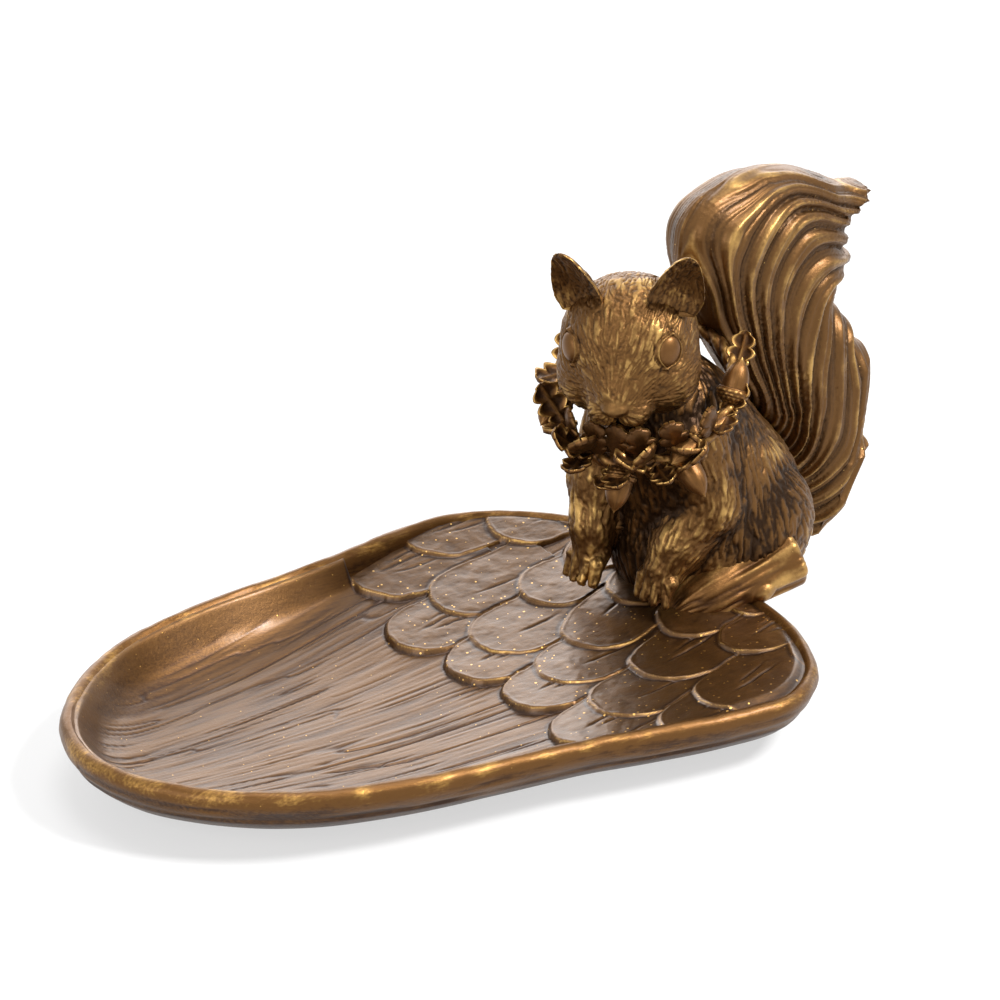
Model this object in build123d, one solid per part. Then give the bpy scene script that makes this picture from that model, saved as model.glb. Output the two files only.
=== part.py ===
from build123d import *
import math
import os

# A keepsake tray in the form of half an acorn lying on its side, with a squirrel
# leaning over its cap end. All sizes are in millimetres. +X runs from the tip of the
# nut to the stem, +Z is up, and the origin is on the table under the felt pad.

# Driving sizes of the tray
tray_length = 241.5  # tip of the nut to the far edge of the cap
tip_reach = 118.0  # origin to the tip of the nut
tray_half_width = 88.0  # widest half width, across the cap
rim_height = 24.0
foot_inset = 27.0  # how far the flat underside stays inside the rim
well_inset = 30.0  # how far the flat floor of the well stays inside the rim
floor_thickness = 5.0
felt_thickness = 1.2
felt_inset = 31.0

# Driving sizes of the cap and its scales
cap_front = 17.0  # where the scale tips begin, ahead of the origin
cap_front_height = 9.0
cap_slope = 6.5  # degrees
cap_dish_radius = 520.0  # hollow of the cap across its width
scale_pitch = 24.0  # from one row of tips to the next
scale_width = 31.0
scale_tongue = 15.0  # how far a tip stands out from its row
scale_tip_thickness = 3.6
scale_root_thickness = 1.3
last_row_thinning = 0.25  # share of the thinning that the row under the squirrel gets
scale_rim_gap = 7.5  # the scales end this far inside the rim's outer edge
keel_radius = 1.1
keel_depth = 0.6

# Driving sizes of the stem
stem_radius = 11.5
stem_length = 38.0
stem_root_radius = 13.0
stem_waist_radius = 10.4
stem_edge = 2.4
stem_end_x = 139.0
stem_end_y = -20.0
stem_end_height = 33.5
stem_turn = -8.0  # degrees, towards the near side
stem_rise = 17.0  # degrees
knob_radius = 4.2  # the stub of a twig on the near side of the stem

# Where the squirrel sits, and its driving sizes
seat_x = 88.0
seat_y = 3.0
seat_turn = 10.0  # degrees
body_height = 104.0
body_length = 70.0
body_half_width = 32.0
seat_height = 17.0
head_radius = 23.6
head_height = 112.0
head_forward = 1.0
head_yaw = 34.8  # degrees, to the squirrel's left
head_pitch = 27.3  # degrees, nose down
head_roll = 4.0  # degrees, left ear up
ear_length = 21.0
ear_width = 16.5
ear_wall = 2.2
eye_radius = 5.2
nose_radius = 3.4
arm_radius = 10.5
toe_radius = 2.9
toe_length = 9.0
haunch_radius = 21.5
haunch_half_width = 13.0
haunch_height = 45.0
tail_height = 146.0  # from its root to its crown
tail_depth = 96.0  # front edge to the flick at its tip
tail_half_width = 18.0
tail_root_height = 16.0
tail_root_back = 62.0  # from the paws to the root
groove_radius = 5.2  # round furrows between the locks of the tail
groove_lift = 1.4  # how far a furrow's middle lies outside the tail's side
tip_thinning = 1.6  # power that draws the lock tips in faster than the front

# Driving sizes of the garland round the neck
garland_radius = 28.5
garland_twig = 2.4
garland_height = 91.5
garland_back = 8.0
garland_yaw = 20.0  # degrees
garland_tilt = 35.0  # degrees, low in front
leaf_length = 17.5
leaf_half_width = 5.6
leaf_thickness = 1.8
acorn_radius = 5.0
acorn_length = 13.5
acorn_cap_radius = 6.2
acorn_cap_height = 6.0

cut_over = 60.0  # overrun of every cutting tool

os.makedirs("parts", exist_ok=True)


def write(name, shape):
    """Write one piece under its node name."""
    export_step(shape, "parts/" + name + ".step")
    return shape


def minus(shape, *others):
    """The shape with every near piece cut from it, keeping its main solid."""
    for other in others:
        if shape.bounding_box().overlaps(other.bounding_box()):
            shape = shape - other
    solids = sorted(shape.solids(), key=lambda solid: solid.volume)
    return solids[-1]


# Outline of the tray: shares of the length from the tip, and of the half width
near_edge_shares = (
    (0.022, 0.26),
    (0.075, 0.465),
    (0.18, 0.69),
    (0.32, 0.82),
    (0.46, 0.878),
    (0.57, 0.915),
    (0.67, 0.975),
    (0.77, 1.02),
    (0.86, 1.02),
    (0.935, 0.88),
    (0.982, 0.62),
)
far_edge_shares = (
    (0.022, 0.26),
    (0.075, 0.465),
    (0.18, 0.69),
    (0.32, 0.82),
    (0.46, 0.878),
    (0.57, 0.925),
    (0.67, 0.985),
    (0.77, 1.0),
    (0.86, 0.9),
    (0.935, 0.68),
    (0.982, 0.38),
)


def edge_points():
    """The tray's outline, once round from the tip along the near side."""
    near = [(a * tray_length - tip_reach, -b * tray_half_width) for a, b in near_edge_shares]
    far = [(a * tray_length - tip_reach, b * tray_half_width) for a, b in far_edge_shares]
    tip = [(-tip_reach, 0.0)]
    end = [(tray_length - tip_reach, -0.12 * tray_half_width)]
    return tip + near + end + far[::-1]


def outline(inset, height):
    """The outline drawn in by one distance all round, as a face at one height."""
    points = edge_points()
    count = len(points)
    drawn_in = []
    for place in range(count):
        before = Vector(*points[place - 1])
        here = Vector(*points[place])
        after = Vector(*points[(place + 1) % count])
        along = (after - before).normalized()
        inward = Vector(-along.Y, along.X)
        spot = here + inward * inset
        drawn_in.append((spot.X, spot.Y, height))
    return make_face(Spline(*drawn_in, periodic=True))


def tray_body():
    """The outer form: a flat foot, a full belly and a rolled rim."""
    wall_shares = (
        (0.0, 1.0),
        (0.1, 0.72),
        (0.28, 0.42),
        (0.5, 0.17),
        (0.76, 0.02),
        (0.92, 0.03),
        (1.0, 0.13),
    )
    rise = rim_height - felt_thickness
    sections = [
        outline(inset * foot_inset, felt_thickness + height * rise)
        for height, inset in wall_shares
    ]
    return loft(sections)


def well():
    """The hollow inside the rolled rim."""
    well_shares = (
        (0.0, 1.0),
        (0.12, 0.66),
        (0.42, 0.4),
        (0.8, 0.27),
        (1.0, 0.18),
    )
    floor = felt_thickness + floor_thickness
    rise = rim_height - floor
    sections = [
        outline(inset * well_inset, floor + height * rise)
        for height, inset in well_shares
    ]
    mouth = extrude(outline(well_shares[-1][1] * well_inset, rim_height), cut_over)
    return loft(sections) + mouth


# The cap: a hollow cylinder surface, tilted up towards the stem
def cap_hollow(front_x, front_height, slope):
    """Everything above a surface that is hollow across and slopes along the tray."""
    tilt = math.radians(slope)
    centre = (
        front_x - cap_dish_radius * math.sin(tilt),
        seat_y,
        front_height + cap_dish_radius * math.cos(tilt),
    )
    axis = Plane(
        origin=centre,
        x_dir=(0, 1, 0),
        z_dir=(math.cos(tilt), 0, math.sin(tilt)),
    )
    return axis * Cylinder(cap_dish_radius, 2 * tray_length)


row_shift_shares = (0.02, 0.33, 0.72, 0.24)


def row_tips(row):
    """The middle of each scale in one row, across the tray."""
    reach = math.floor(tray_half_width / scale_width) + 1
    shift = row_shift_shares[row] * scale_width
    return [shift + scale_width * place for place in range(-reach, reach)]


def row_area(row):
    """The plan of the cap from one row of tips back to the stem, as a prism."""
    tip_x = cap_front + row * scale_pitch
    root_x = tip_x + scale_tongue
    back_x = tray_length
    tips = row_tips(row)
    edges = []
    for middle in tips:
        first = (root_x, middle - scale_width / 2)
        last = (root_x, middle + scale_width / 2)
        edges.append(ThreePointArc(first, (tip_x, middle), last))
    low = tips[0] - scale_width / 2
    high = tips[-1] + scale_width / 2
    edges.append(Polyline((root_x, high), (back_x, high), (back_x, low), (root_x, low)))
    return extrude(make_face(edges), cut_over)


def scale_row(row, bed, inside):
    """One row of tongue scales, thick at the tips and thin where the next row lies."""
    tip_x = cap_front + row * scale_pitch
    tilt = math.tan(math.radians(cap_slope))
    bed_height = cap_front_height + row * scale_pitch * tilt
    last_row = row + 1 == len(row_shift_shares)
    thin = scale_tip_thickness - scale_root_thickness
    if last_row:
        thin = thin * last_row_thinning
    top_slope = cap_slope - math.degrees(math.atan(thin / scale_pitch))
    top = cap_hollow(tip_x, bed_height + scale_tip_thickness, top_slope)
    area = row_area(row)
    if not last_row:
        area = area - row_area(row + 1)
    slab = (area & bed) - top
    for middle in row_tips(row)[1:-1]:
        reach = middle - seat_y
        lift = cap_dish_radius - math.sqrt(cap_dish_radius**2 - reach**2)
        height = bed_height + scale_tip_thickness + lift + keel_radius - keel_depth
        rise = math.tan(math.radians(top_slope))
        along = Plane(origin=(tip_x + scale_pitch, middle, height), z_dir=(1, 0, rise))
        slab = slab - along * Cylinder(keel_radius, scale_pitch)
    return slab & inside


# The tray
felt_pad = extrude(outline(felt_inset, 0), felt_thickness)
hollow = well()
cap_bed = cap_hollow(cap_front, cap_front_height, cap_slope)
cap_block = row_area(0) - cap_bed
acorn_dish = tray_body() - (hollow - cap_block)
inside_rim = extrude(outline(scale_rim_gap, 0), cut_over) & hollow

rows = [minus(scale_row(row, cap_bed, inside_rim)) for row in range(len(row_shift_shares))]


# The stem: a stub of twig that flares where it leaves the cap
stem_place = (
    Pos(stem_end_x, stem_end_y, stem_end_height)
    * Rot(0, 0, stem_turn)
    * Rot(0, 90 - stem_rise, 0)
)


def stem_stub():
    """Turned about its own axis, from the cut end back into the cap."""
    edge_in = stem_radius - stem_edge
    profile = [
        Line((0, 0), (edge_in, 0)),
        RadiusArc((edge_in, 0), (stem_radius, -stem_edge), -stem_edge),
        Spline(
            (stem_radius, -stem_edge),
            (stem_waist_radius, -0.3 * stem_length),
            (stem_waist_radius * 1.08, -0.6 * stem_length),
            (stem_root_radius, -stem_length),
        ),
        Line((stem_root_radius, -stem_length), (0, -stem_length)),
        Line((0, -stem_length), (0, 0)),
    ]
    face = Plane.XZ * make_face(profile)
    knob = Pos(0.62 * stem_radius, -0.7 * stem_radius, -0.2 * stem_length) * Sphere(knob_radius)
    return stem_place * (revolve(face, Axis.Z) + knob)


# The squirrel, modelled facing -X with its paws at the origin, then set on the cap
squirrel_place = Pos(seat_x, seat_y, 0) * Rot(0, 0, seat_turn)


def ring_loft(rings):
    """A smooth skin over ellipses, each given as a plane and two half widths."""
    return loft([plane * Ellipse(wide, deep) for plane, wide, deep in rings])


def level(back, side, height):
    return Plane(origin=(back, side, height), x_dir=(1, 0, 0), z_dir=(0, 0, 1))


def limb(stations):
    """A limb through round stations, each square to the run of the limb."""
    count = len(stations)
    rings = []
    for place, (spot, wide, deep) in enumerate(stations):
        before = Vector(*stations[max(place - 1, 0)][0])
        after = Vector(*stations[min(place + 1, count - 1)][0])
        along = (after - before).normalized()
        rings.append((Plane(origin=spot, x_dir=(0, 1, 0), z_dir=along), wide, deep))
    return ring_loft(rings)


def squirrel_body():
    """Seat, belly, chest and neck: front and back of each section as shares."""
    body_shares = (
        (0.0, 0.12, 0.6, 0.66),
        (0.08, 0.05, 0.84, 0.86),
        (0.2, 0.03, 0.98, 0.98),
        (0.36, 0.04, 1.0, 1.0),
        (0.52, 0.0, 0.92, 0.94),
        (0.68, -0.09, 0.76, 0.8),
        (0.83, -0.13, 0.6, 0.7),
        (0.95, -0.11, 0.49, 0.62),
        (1.03, -0.08, 0.36, 0.46),
        (1.07, -0.02, 0.22, 0.26),
    )
    rise = body_height - seat_height
    rings = []
    for height, front, back, half in body_shares:
        middle = (front + back) / 2 * body_length
        reach = (back - front) / 2 * body_length
        place = level(middle, 0, seat_height + height * rise)
        rings.append((place, reach, half * body_half_width))
    return ring_loft(rings)


head_place = (
    Pos(-head_forward, 0, head_height)
    * Rot(0, 0, head_yaw)
    * Rot(0, -head_pitch, 0)
    * Rot(-head_roll, 0, 0)
)


def head_form():
    """Skull, cheeks and muzzle, drawn along the line that the nose points."""
    head_shares = (
        (-0.93, 0.4, 0.38, 0.1),
        (-0.7, 0.7, 0.68, 0.08),
        (-0.3, 0.94, 0.94, 0.04),
        (0.12, 1.0, 1.0, 0.0),
        (0.48, 0.86, 0.88, -0.03),
        (0.76, 0.63, 0.66, -0.08),
        (0.98, 0.45, 0.46, -0.1),
        (1.14, 0.32, 0.3, -0.06),
        (1.21, 0.16, 0.14, -0.02),
    )
    rings = []
    for ahead, half, tall, drop in head_shares:
        spot = (-ahead * head_radius, 0, drop * head_radius)
        place = Plane(origin=spot, x_dir=(0, 1, 0), z_dir=(-1, 0, 0))
        rings.append((place, half * head_radius, tall * head_radius))
    return head_place * ring_loft(rings)


def ear(side):
    """A pointed cup: an outer cone of leaf sections, with a smaller one cut out."""
    lean = -0.05 * head_radius  # both ears stand a little to the left
    root = Vector(0.06 * head_radius, side * 0.58 * head_radius + lean, 0.72 * head_radius)
    tip = root + Vector(0.14 * ear_length, side * 0.44 * ear_length + lean, 0.97 * ear_length)
    along = (tip - root).normalized()
    ear_shares = ((0.0, 0.9), (0.3, 1.0), (0.62, 0.72), (0.88, 0.32), (1.0, 0.12))
    outer = []
    inner = []
    for share, width in ear_shares:
        spot = root + (tip - root) * share
        across = Plane(origin=spot, x_dir=(side * 0.35, 1, 0), z_dir=along)
        half = width * ear_width / 2
        outer.append((across, half, half * 0.6))
        scoop = Pos(-1.3 * ear_wall, 0, 0) * across
        inner.append((scoop, max(half - ear_wall, ear_wall / 4), half * 0.42))
    shell = ring_loft(outer) - ring_loft(inner)
    return head_place * shell


def eye(side):
    spot = (-0.44 * head_radius, side * 0.68 * head_radius, 0.42 * head_radius)
    return head_place * Pos(*spot) * Sphere(eye_radius)


def nose():
    spot = (-1.14 * head_radius, -0.03 * head_radius, 0.08 * head_radius)
    return head_place * Pos(*spot) * Sphere(nose_radius)


def foreleg(stations):
    """An arm with its paw: four toes spread from the end of the limb."""
    leg = limb(stations)
    paw = Vector(*stations[-1][0])
    toes = 4
    for toe in range(toes):
        spread = (toe - (toes - 1) / 2) * toe_radius * 1.5
        root = paw + Vector(0, spread, 0)
        tip = root + Vector(-toe_length, spread * 0.4, -0.75 * toe_length)
        along = (root + tip) * 0.5
        place = Plane(origin=along, z_dir=(tip - root).normalized())
        leg = leg + place * toe_form((tip - root).length)
    return leg


def toe_form(length):
    """A toe: an egg turned about its length."""
    half = split(Ellipse(toe_radius, length * 0.62), Plane.YZ)
    return revolve(Plane.XZ * half, Axis.Z)


def haunch(side):
    """The thigh: a deep disc with a round edge, lying against the flank."""
    half = Ellipse(haunch_radius, haunch_half_width)
    face = split(half, Plane.YZ)
    disc = revolve(Plane.XY * face, Axis.Y)
    return Pos(0.58 * body_length, side * 0.68 * body_half_width, haunch_height) * disc


# The tail's side view as runs between the tips and notches of its locks: shares of
# its depth and height
tail_edge_shares = (
    (
        (0.482, 0.862),
        (0.33, 0.888),
        (0.125, 0.955),
        (-0.1, 0.984),
        (-0.27, 0.968),
        (-0.4, 0.93),
        (-0.455, 0.862),
        (-0.435, 0.775),
        (-0.335, 0.66),
        (-0.24, 0.565),
        (-0.11, 0.4),
        (-0.03, 0.2),
        (0.04, 0.01),
        (0.2, 0.01),
        (0.34, 0.055),
        (0.42, 0.125),
        (0.505, 0.21),
    ),
    ((0.505, 0.21), (0.462, 0.245)),
    ((0.462, 0.245), (0.485, 0.325), (0.495, 0.39), (0.478, 0.47)),
    ((0.478, 0.47), (0.4, 0.505), (0.345, 0.57), (0.277, 0.625)),
    ((0.277, 0.625), (0.32, 0.672), (0.38, 0.7)),
    ((0.38, 0.7), (0.332, 0.75)),
    ((0.332, 0.75), (0.36, 0.797), (0.43, 0.82), (0.482, 0.862)),
)
tail_middle_shares = (0.02, 0.55)

# How far the side view is drawn in at each distance from the tail's middle plane
tail_side_shares = (
    (-1.0, 0.55),
    (-0.8, 0.78),
    (-0.45, 0.93),
    (0.0, 1.0),
    (0.45, 0.93),
    (0.8, 0.78),
    (1.0, 0.55),
)

# Furrows between the locks: shares of the tail's depth, height and half width
groove_shares = (
    (
        (0.0, 0.25, 0.8),
        (-0.06, 0.41, 0.9),
        (-0.17, 0.55, 0.92),
        (-0.275, 0.69, 0.88),
        (-0.325, 0.79, 0.8),
        (-0.3, 0.86, 0.72),
        (-0.22, 0.91, 0.62),
        (-0.09, 0.925, 0.6),
        (0.05, 0.905, 0.66),
        (0.2, 0.87, 0.5),
        (0.34, 0.85, 0.25),
    ),
    (
        (0.1, 0.26, 0.9),
        (0.09, 0.38, 0.95),
        (0.08, 0.5, 1.0),
        (0.09, 0.6, 1.0),
        (0.14, 0.67, 0.95),
        (0.22, 0.7, 0.8),
        (0.3, 0.7, 0.55),
    ),
)


def tail_spot(back, up, side):
    """A point from its shares of the tail's depth, height and half width."""
    return (
        tail_root_back + back * tail_depth,
        side * tail_half_width,
        tail_root_height + up * tail_height,
    )


def tail_section(side, drawn_in):
    """The tail's side view at one distance from its middle plane."""
    middle_back, middle_up = tail_middle_shares
    edges = []
    for run in tail_edge_shares:
        spots = []
        for back, up in run:
            tipward = tip_thinning if back > middle_back else 1
            back = middle_back + (back - middle_back) * drawn_in**tipward
            up = middle_up + (up - middle_up) * drawn_in
            spots.append(tail_spot(back, up, side))
        edges.append(Line(*spots) if len(spots) == 2 else Spline(*spots))
    return make_face(edges)


def groove(run, side):
    """One furrow, swept along a line that lies just outside the tail's side."""
    lift = groove_lift / tail_half_width
    path = Spline(*[tail_spot(back, up, side * (out + lift)) for back, up, out in run])
    start = Plane(origin=path @ 0, z_dir=path % 0)
    return sweep(start * Circle(groove_radius), path=path)


def tail():
    """A pillow-sided plume that rolls over at the top, with the locks furrowed in."""
    plume = loft([tail_section(*shares) for shares in tail_side_shares])
    for run in groove_shares:
        for side in (-1, 1):
            plume = plume - groove(run, side)
    return plume


# The garland: a twig ring round the neck, with oak leaves and acorns seated on it
garland_place = (
    Pos(garland_back, 0, garland_height)
    * Rot(0, 0, garland_yaw)
    * Rot(0, -garland_tilt, 0)
)


def on_ring(angle):
    """A place on the twig, counted in degrees from the front to the squirrel's left.

    Its X axis points out of the ring and its Y axis along the twig."""
    return garland_place * Rot(0, 0, 180 + angle) * Pos(garland_radius, 0, 0)


def leaf():
    """An oak leaf with rounded lobes, curled over a cylinder, its stalk end at zero."""
    valley_shares = ((0.0, 0.14), (0.22, 0.5), (0.46, 0.58), (0.72, 0.54), (1.0, 0.0))
    lobe_shares = ((0.1, 0.62), (0.34, 0.94), (0.59, 0.98), (0.93, 0.52))
    edges = []
    for side in (-1, 1):
        for place, lobe in list(enumerate(lobe_shares))[::-side]:
            corners = [valley_shares[place], lobe, valley_shares[place + 1]][::-side]
            spots = [(a * leaf_length, side * b * leaf_half_width) for a, b in corners]
            edges.append(ThreePointArc(*spots))
    half = valley_shares[0][1] * leaf_half_width
    edges.append(Line((0, half), (0, -half)))
    blade = extrude(make_face(edges), leaf_length, both=True)
    curl = 1.3 * leaf_length
    lying = Pos(0.4 * leaf_length, 0, curl) * Rot(90, 0, 0)
    height = 4 * leaf_half_width
    shell = Cylinder(curl, height) - Cylinder(curl - leaf_thickness, height)
    low = Pos(0, 0, -cut_over / 2) * Box(cut_over, cut_over, cut_over + 2 * leaf_length)
    return blade & (lying * shell) & low


def acorn_nut():
    """The nut, hanging down from its cap at the origin, with a pointed tip."""
    profile = [
        Line((0, 0), (acorn_radius, 0)),
        Spline(
            (acorn_radius, 0),
            (0.96 * acorn_radius, -0.3 * acorn_length),
            (0.6 * acorn_radius, -0.7 * acorn_length),
            (0, -acorn_length),
        ),
        Line((0, -acorn_length), (0, 0)),
    ]
    return revolve(Plane.XZ * make_face(profile), Axis.Z)


def acorn_cup():
    """The cap: a dome with a short stalk stub, sitting on the nut."""
    profile = [
        Line((0, 0), (acorn_cap_radius, 0)),
        Spline(
            (acorn_cap_radius, 0),
            (0.86 * acorn_cap_radius, 0.5 * acorn_cap_height),
            (0.28 * acorn_cap_radius, 0.9 * acorn_cap_height),
        ),
        Line(
            (0.28 * acorn_cap_radius, 0.9 * acorn_cap_height),
            (0.2 * acorn_cap_radius, 1.3 * acorn_cap_height),
        ),
        Line((0.2 * acorn_cap_radius, 1.3 * acorn_cap_height), (0, 1.3 * acorn_cap_height)),
        Line((0, 1.3 * acorn_cap_height), (0, 0)),
    ]
    return revolve(Plane.XZ * make_face(profile), Axis.Z)


# Leaves: place round the ring, turn from straight out, lean from the ring's plane
leaf_angles = (
    (-122, -66, 10),
    (-102, 78, 20),
    (-86, -78, 15),
    (-58, 80, 10),
    (-46, -76, 25),
    (-26, 66, 30),
    (-16, -48, 35),
    (14, 50, 35),
    (28, -60, 20),
    (38, 40, 0),
    (58, -40, 25),
    (82, 60, 10),
    (96, -50, 20),
    (118, 62, 10),
)

# Acorns: name, place round the ring, turn along the twig, lean down from it
acorn_angles = (
    ("front", -6, 0, 35),
    ("left_front", 46, 10, 30),
    ("left_cheek", 66, -70, -10),
    ("left_shoulder", 100, 60, -20),
    ("right_cheek", -72, 60, -5),
)


def seat_leaf(angle, turn, lean):
    sink = Pos(garland_twig * 0.6, 0, 0)
    return on_ring(angle) * Rot(0, 0, turn) * Rot(0, -lean, 0) * sink * leaf()


def seat_acorn(angle, turn, lean, form):
    """Stands an acorn on the twig by its stalk."""
    reach = garland_twig * 0.5 + 1.3 * acorn_cap_height
    out = on_ring(angle) * Rot(0, 0, turn) * Rot(0, lean, 0) * Pos(reach, 0, 0)
    return out * Rot(0, -90, 0) * form


# Assembly: each piece is cut by the ones that it is bonded to
stem = minus(stem_stub(), acorn_dish, *rows)
garland_ring = squirrel_place * garland_place * Torus(garland_radius, garland_twig)
head = squirrel_place * head_form()
eyes = {side: squirrel_place * eye(side) for side in (-1, 1)}
nose_tip = squirrel_place * nose()
ears = {side: minus(squirrel_place * ear(side), head) for side in (-1, 1)}
head = minus(head, eyes[-1], eyes[1], nose_tip)
body = minus(squirrel_place * squirrel_body(), acorn_dish, *rows, stem, head, garland_ring)
haunches = {}
for side in (-1, 1):
    haunches[side] = minus(squirrel_place * haunch(side), body, stem, acorn_dish, *rows)

# Stations down each arm: shares of the body's length, half width and height, then the
# two half widths as shares of the arm's radius
left_arm_shares = (
    (0.19, -0.54, 0.72, 1.0, 1.0),
    (0.25, -0.64, 0.565, 0.96, 1.0),
    (0.2, -0.56, 0.462, 0.8, 0.86),
    (0.14, -0.48, 0.388, 0.69, 0.69),
    (0.11, -0.44, 0.342, 0.69, 0.52),
)
right_arm_shares = (
    (0.09, 0.5, 0.72, 1.0, 1.0),
    (0.08, 0.56, 0.555, 0.96, 1.0),
    (0.06, 0.5, 0.462, 0.8, 0.86),
    (0.05, 0.43, 0.388, 0.69, 0.69),
    (0.04, 0.4, 0.332, 0.69, 0.52),
)


def arm_stations(shares):
    stations = []
    for back, across, up, wide, deep in shares:
        spot = (back * body_length, across * body_half_width, up * body_height)
        stations.append((spot, wide * arm_radius, deep * arm_radius))
    return stations


forelegs = {}
for side, shares in ((-1, left_arm_shares), (1, right_arm_shares)):
    leg = squirrel_place * foreleg(arm_stations(shares))
    forelegs[side] = minus(leg, body, haunches[side], stem, acorn_dish, *rows)
plume = minus(squirrel_place * tail(), body, head, garland_ring, haunches[-1], haunches[1])

garland = {}
for place, angles in enumerate(leaf_angles):
    piece = squirrel_place * seat_leaf(*angles)
    garland["oak_leaf_" + str(place + 1).zfill(2)] = piece
for name, angle, turn, lean in acorn_angles:
    nut = squirrel_place * seat_acorn(angle, turn, lean, acorn_nut())
    cup = squirrel_place * seat_acorn(angle, turn, lean, acorn_cup())
    garland[name + "_acorn_nut"] = nut
    garland[name + "_acorn_cap"] = cup
placed = [body, head, garland_ring, plume, forelegs[-1], forelegs[1]]
for name, piece in garland.items():
    box = piece.bounding_box()
    near = [other for other in placed if box.overlaps(other.bounding_box())]
    garland[name] = minus(piece, *near)
    placed.append(garland[name])

write("felt_pad", felt_pad)
write("acorn_dish", acorn_dish)
for row, piece in enumerate(rows):
    write("cap_scales_row_" + str(row + 1), piece)
write("stem", stem)
write("squirrel_body", body)
write("head", head)
write("nose", nose_tip)
for side, word in ((-1, "left"), (1, "right")):
    write(word + "_ear", ears[side])
    write(word + "_eye", eyes[side])
    write(word + "_haunch", haunches[side])
    write(word + "_foreleg", forelegs[side])
write("tail", plume)
write("garland_ring", garland_ring)
for name, piece in garland.items():
    write(name, piece)
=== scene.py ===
import math
import time

import bpy
import bmesh
import numpy as np
from mathutils import Matrix, Vector


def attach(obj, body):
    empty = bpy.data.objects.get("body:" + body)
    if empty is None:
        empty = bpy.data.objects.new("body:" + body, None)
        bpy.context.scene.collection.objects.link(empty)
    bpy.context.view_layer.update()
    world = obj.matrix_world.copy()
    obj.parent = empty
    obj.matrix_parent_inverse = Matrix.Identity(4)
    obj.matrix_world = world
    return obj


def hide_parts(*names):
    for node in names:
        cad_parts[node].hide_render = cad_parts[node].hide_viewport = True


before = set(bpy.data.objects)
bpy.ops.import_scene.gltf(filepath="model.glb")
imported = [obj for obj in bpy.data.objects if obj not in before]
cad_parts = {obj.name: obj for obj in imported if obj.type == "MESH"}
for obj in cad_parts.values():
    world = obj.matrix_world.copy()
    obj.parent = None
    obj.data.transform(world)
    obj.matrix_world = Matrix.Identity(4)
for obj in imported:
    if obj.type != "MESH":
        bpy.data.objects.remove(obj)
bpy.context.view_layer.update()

# A bronze keepsake tray in the form of half an acorn, with a squirrel leaning over its cap.
# Shapes are worked out in millimetres and written to the meshes in metres.
mm = 0.001
startTime = time.time()


def report(stage):
    print(f"{time.time() - startTime:6.1f} s  {stage}")


# Noise and form helpers, all on arrays of points

def cellValue(cells, seed):
    mix = cells[..., 0] * 73856093 ^ cells[..., 1] * 19349663 ^ cells[..., 2] * 83492791
    mix = (mix + seed * 668265263) & 0xFFFFFFFF
    mix = ((mix ^ (mix >> 15)) * 2246822519) & 0xFFFFFFFF
    mix = ((mix ^ (mix >> 13)) * 3266489917) & 0xFFFFFFFF
    return ((mix ^ (mix >> 16)) & 0xFFFFFF) / 0x7FFFFF - 1.0


def noise(points, size, seed=0):
    spot = np.asarray(points, float) / size
    cell = np.floor(spot).astype(np.int64)
    part = spot - cell
    part = part * part * (3 - 2 * part)
    total = 0
    for x in (0, 1):
        for y in (0, 1):
            for z in (0, 1):
                pull = (np.abs(1 - x - part[..., 0]) * np.abs(1 - y - part[..., 1])
                        * np.abs(1 - z - part[..., 2]))
                total = total + pull * cellValue(cell + np.array((x, y, z)), seed)
    return total


def layered(points, size, seed=0, layers=3):
    return sum(noise(points, size / 2**i, seed + i) / 2**i for i in range(layers)) / (2 - 0.5**(layers - 1))


# noise smeared along a flow: hair-like marks of one width and length
def strokes(points, flow, width, length, seed=0):
    steps = np.linspace(-0.5, 0.5, 9) * length
    total = sum(noise(points + flow * step, width, seed) for step in steps)
    return total / total.std()


def smoothStep(low, high, value):
    share = np.clip((value - low) / (high - low), 0, 1)
    return share * share * (3 - 2 * share)


def bump(value, width):
    return np.exp(-(value / width) ** 2)


# a smooth curve through stations, read at many places at once
def along(stations, place):
    stations = np.asarray(stations, float)
    spots, values = stations[:, 0], stations[:, 1:]
    slopes = np.gradient(values, spots, axis=0)
    place = np.clip(place, spots[0], spots[-1])
    i = np.clip(np.searchsorted(spots, place) - 1, 0, len(spots) - 2)
    gap = (spots[i + 1] - spots[i])[..., None]
    t = (place - spots[i])[..., None] / gap
    start = (2 * t**3 - 3 * t**2 + 1) * values[i] + (t**3 - 2 * t**2 + t) * gap * slopes[i]
    return start + (3 * t**2 - 2 * t**3) * values[i + 1] + (t**3 - t**2) * gap * slopes[i + 1]


# evenly spaced points on a smooth line through corners, open or closed
def evenly(corners, count, closed=False):
    corners = np.array(corners, float)
    line = np.vstack([corners[-3:], corners, corners[:3]]) if closed else corners
    steps = np.concatenate([[0], np.cumsum(np.linalg.norm(np.diff(line, axis=0), axis=1))])
    ends = (steps[3], steps[3 + len(corners)]) if closed else (0, steps[-1])
    return along(np.column_stack([steps, line]), np.linspace(*ends, count, endpoint=not closed))


def flatNoise(first, second, seed):
    return noise(np.column_stack([first, second, first * 0]), 1, seed)


def wander(points, size, seed):
    return np.stack([noise(points, size, seed + axis) for axis in range(3)], axis=-1)


def roundAbout(angle, radius, height):
    return np.column_stack([np.cos(angle) * radius, np.sin(angle) * radius, height])


def unit(vectors):
    return vectors / np.maximum(np.linalg.norm(vectors, axis=-1, keepdims=True), 1e-9)


def egg(points, centre, radii):
    spot = points - np.array(centre, float)
    far = np.linalg.norm(spot / radii, axis=-1)
    near = np.linalg.norm(spot / np.square(radii), axis=-1)
    return far * (far - 1) / np.maximum(near, 1e-9)


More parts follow.
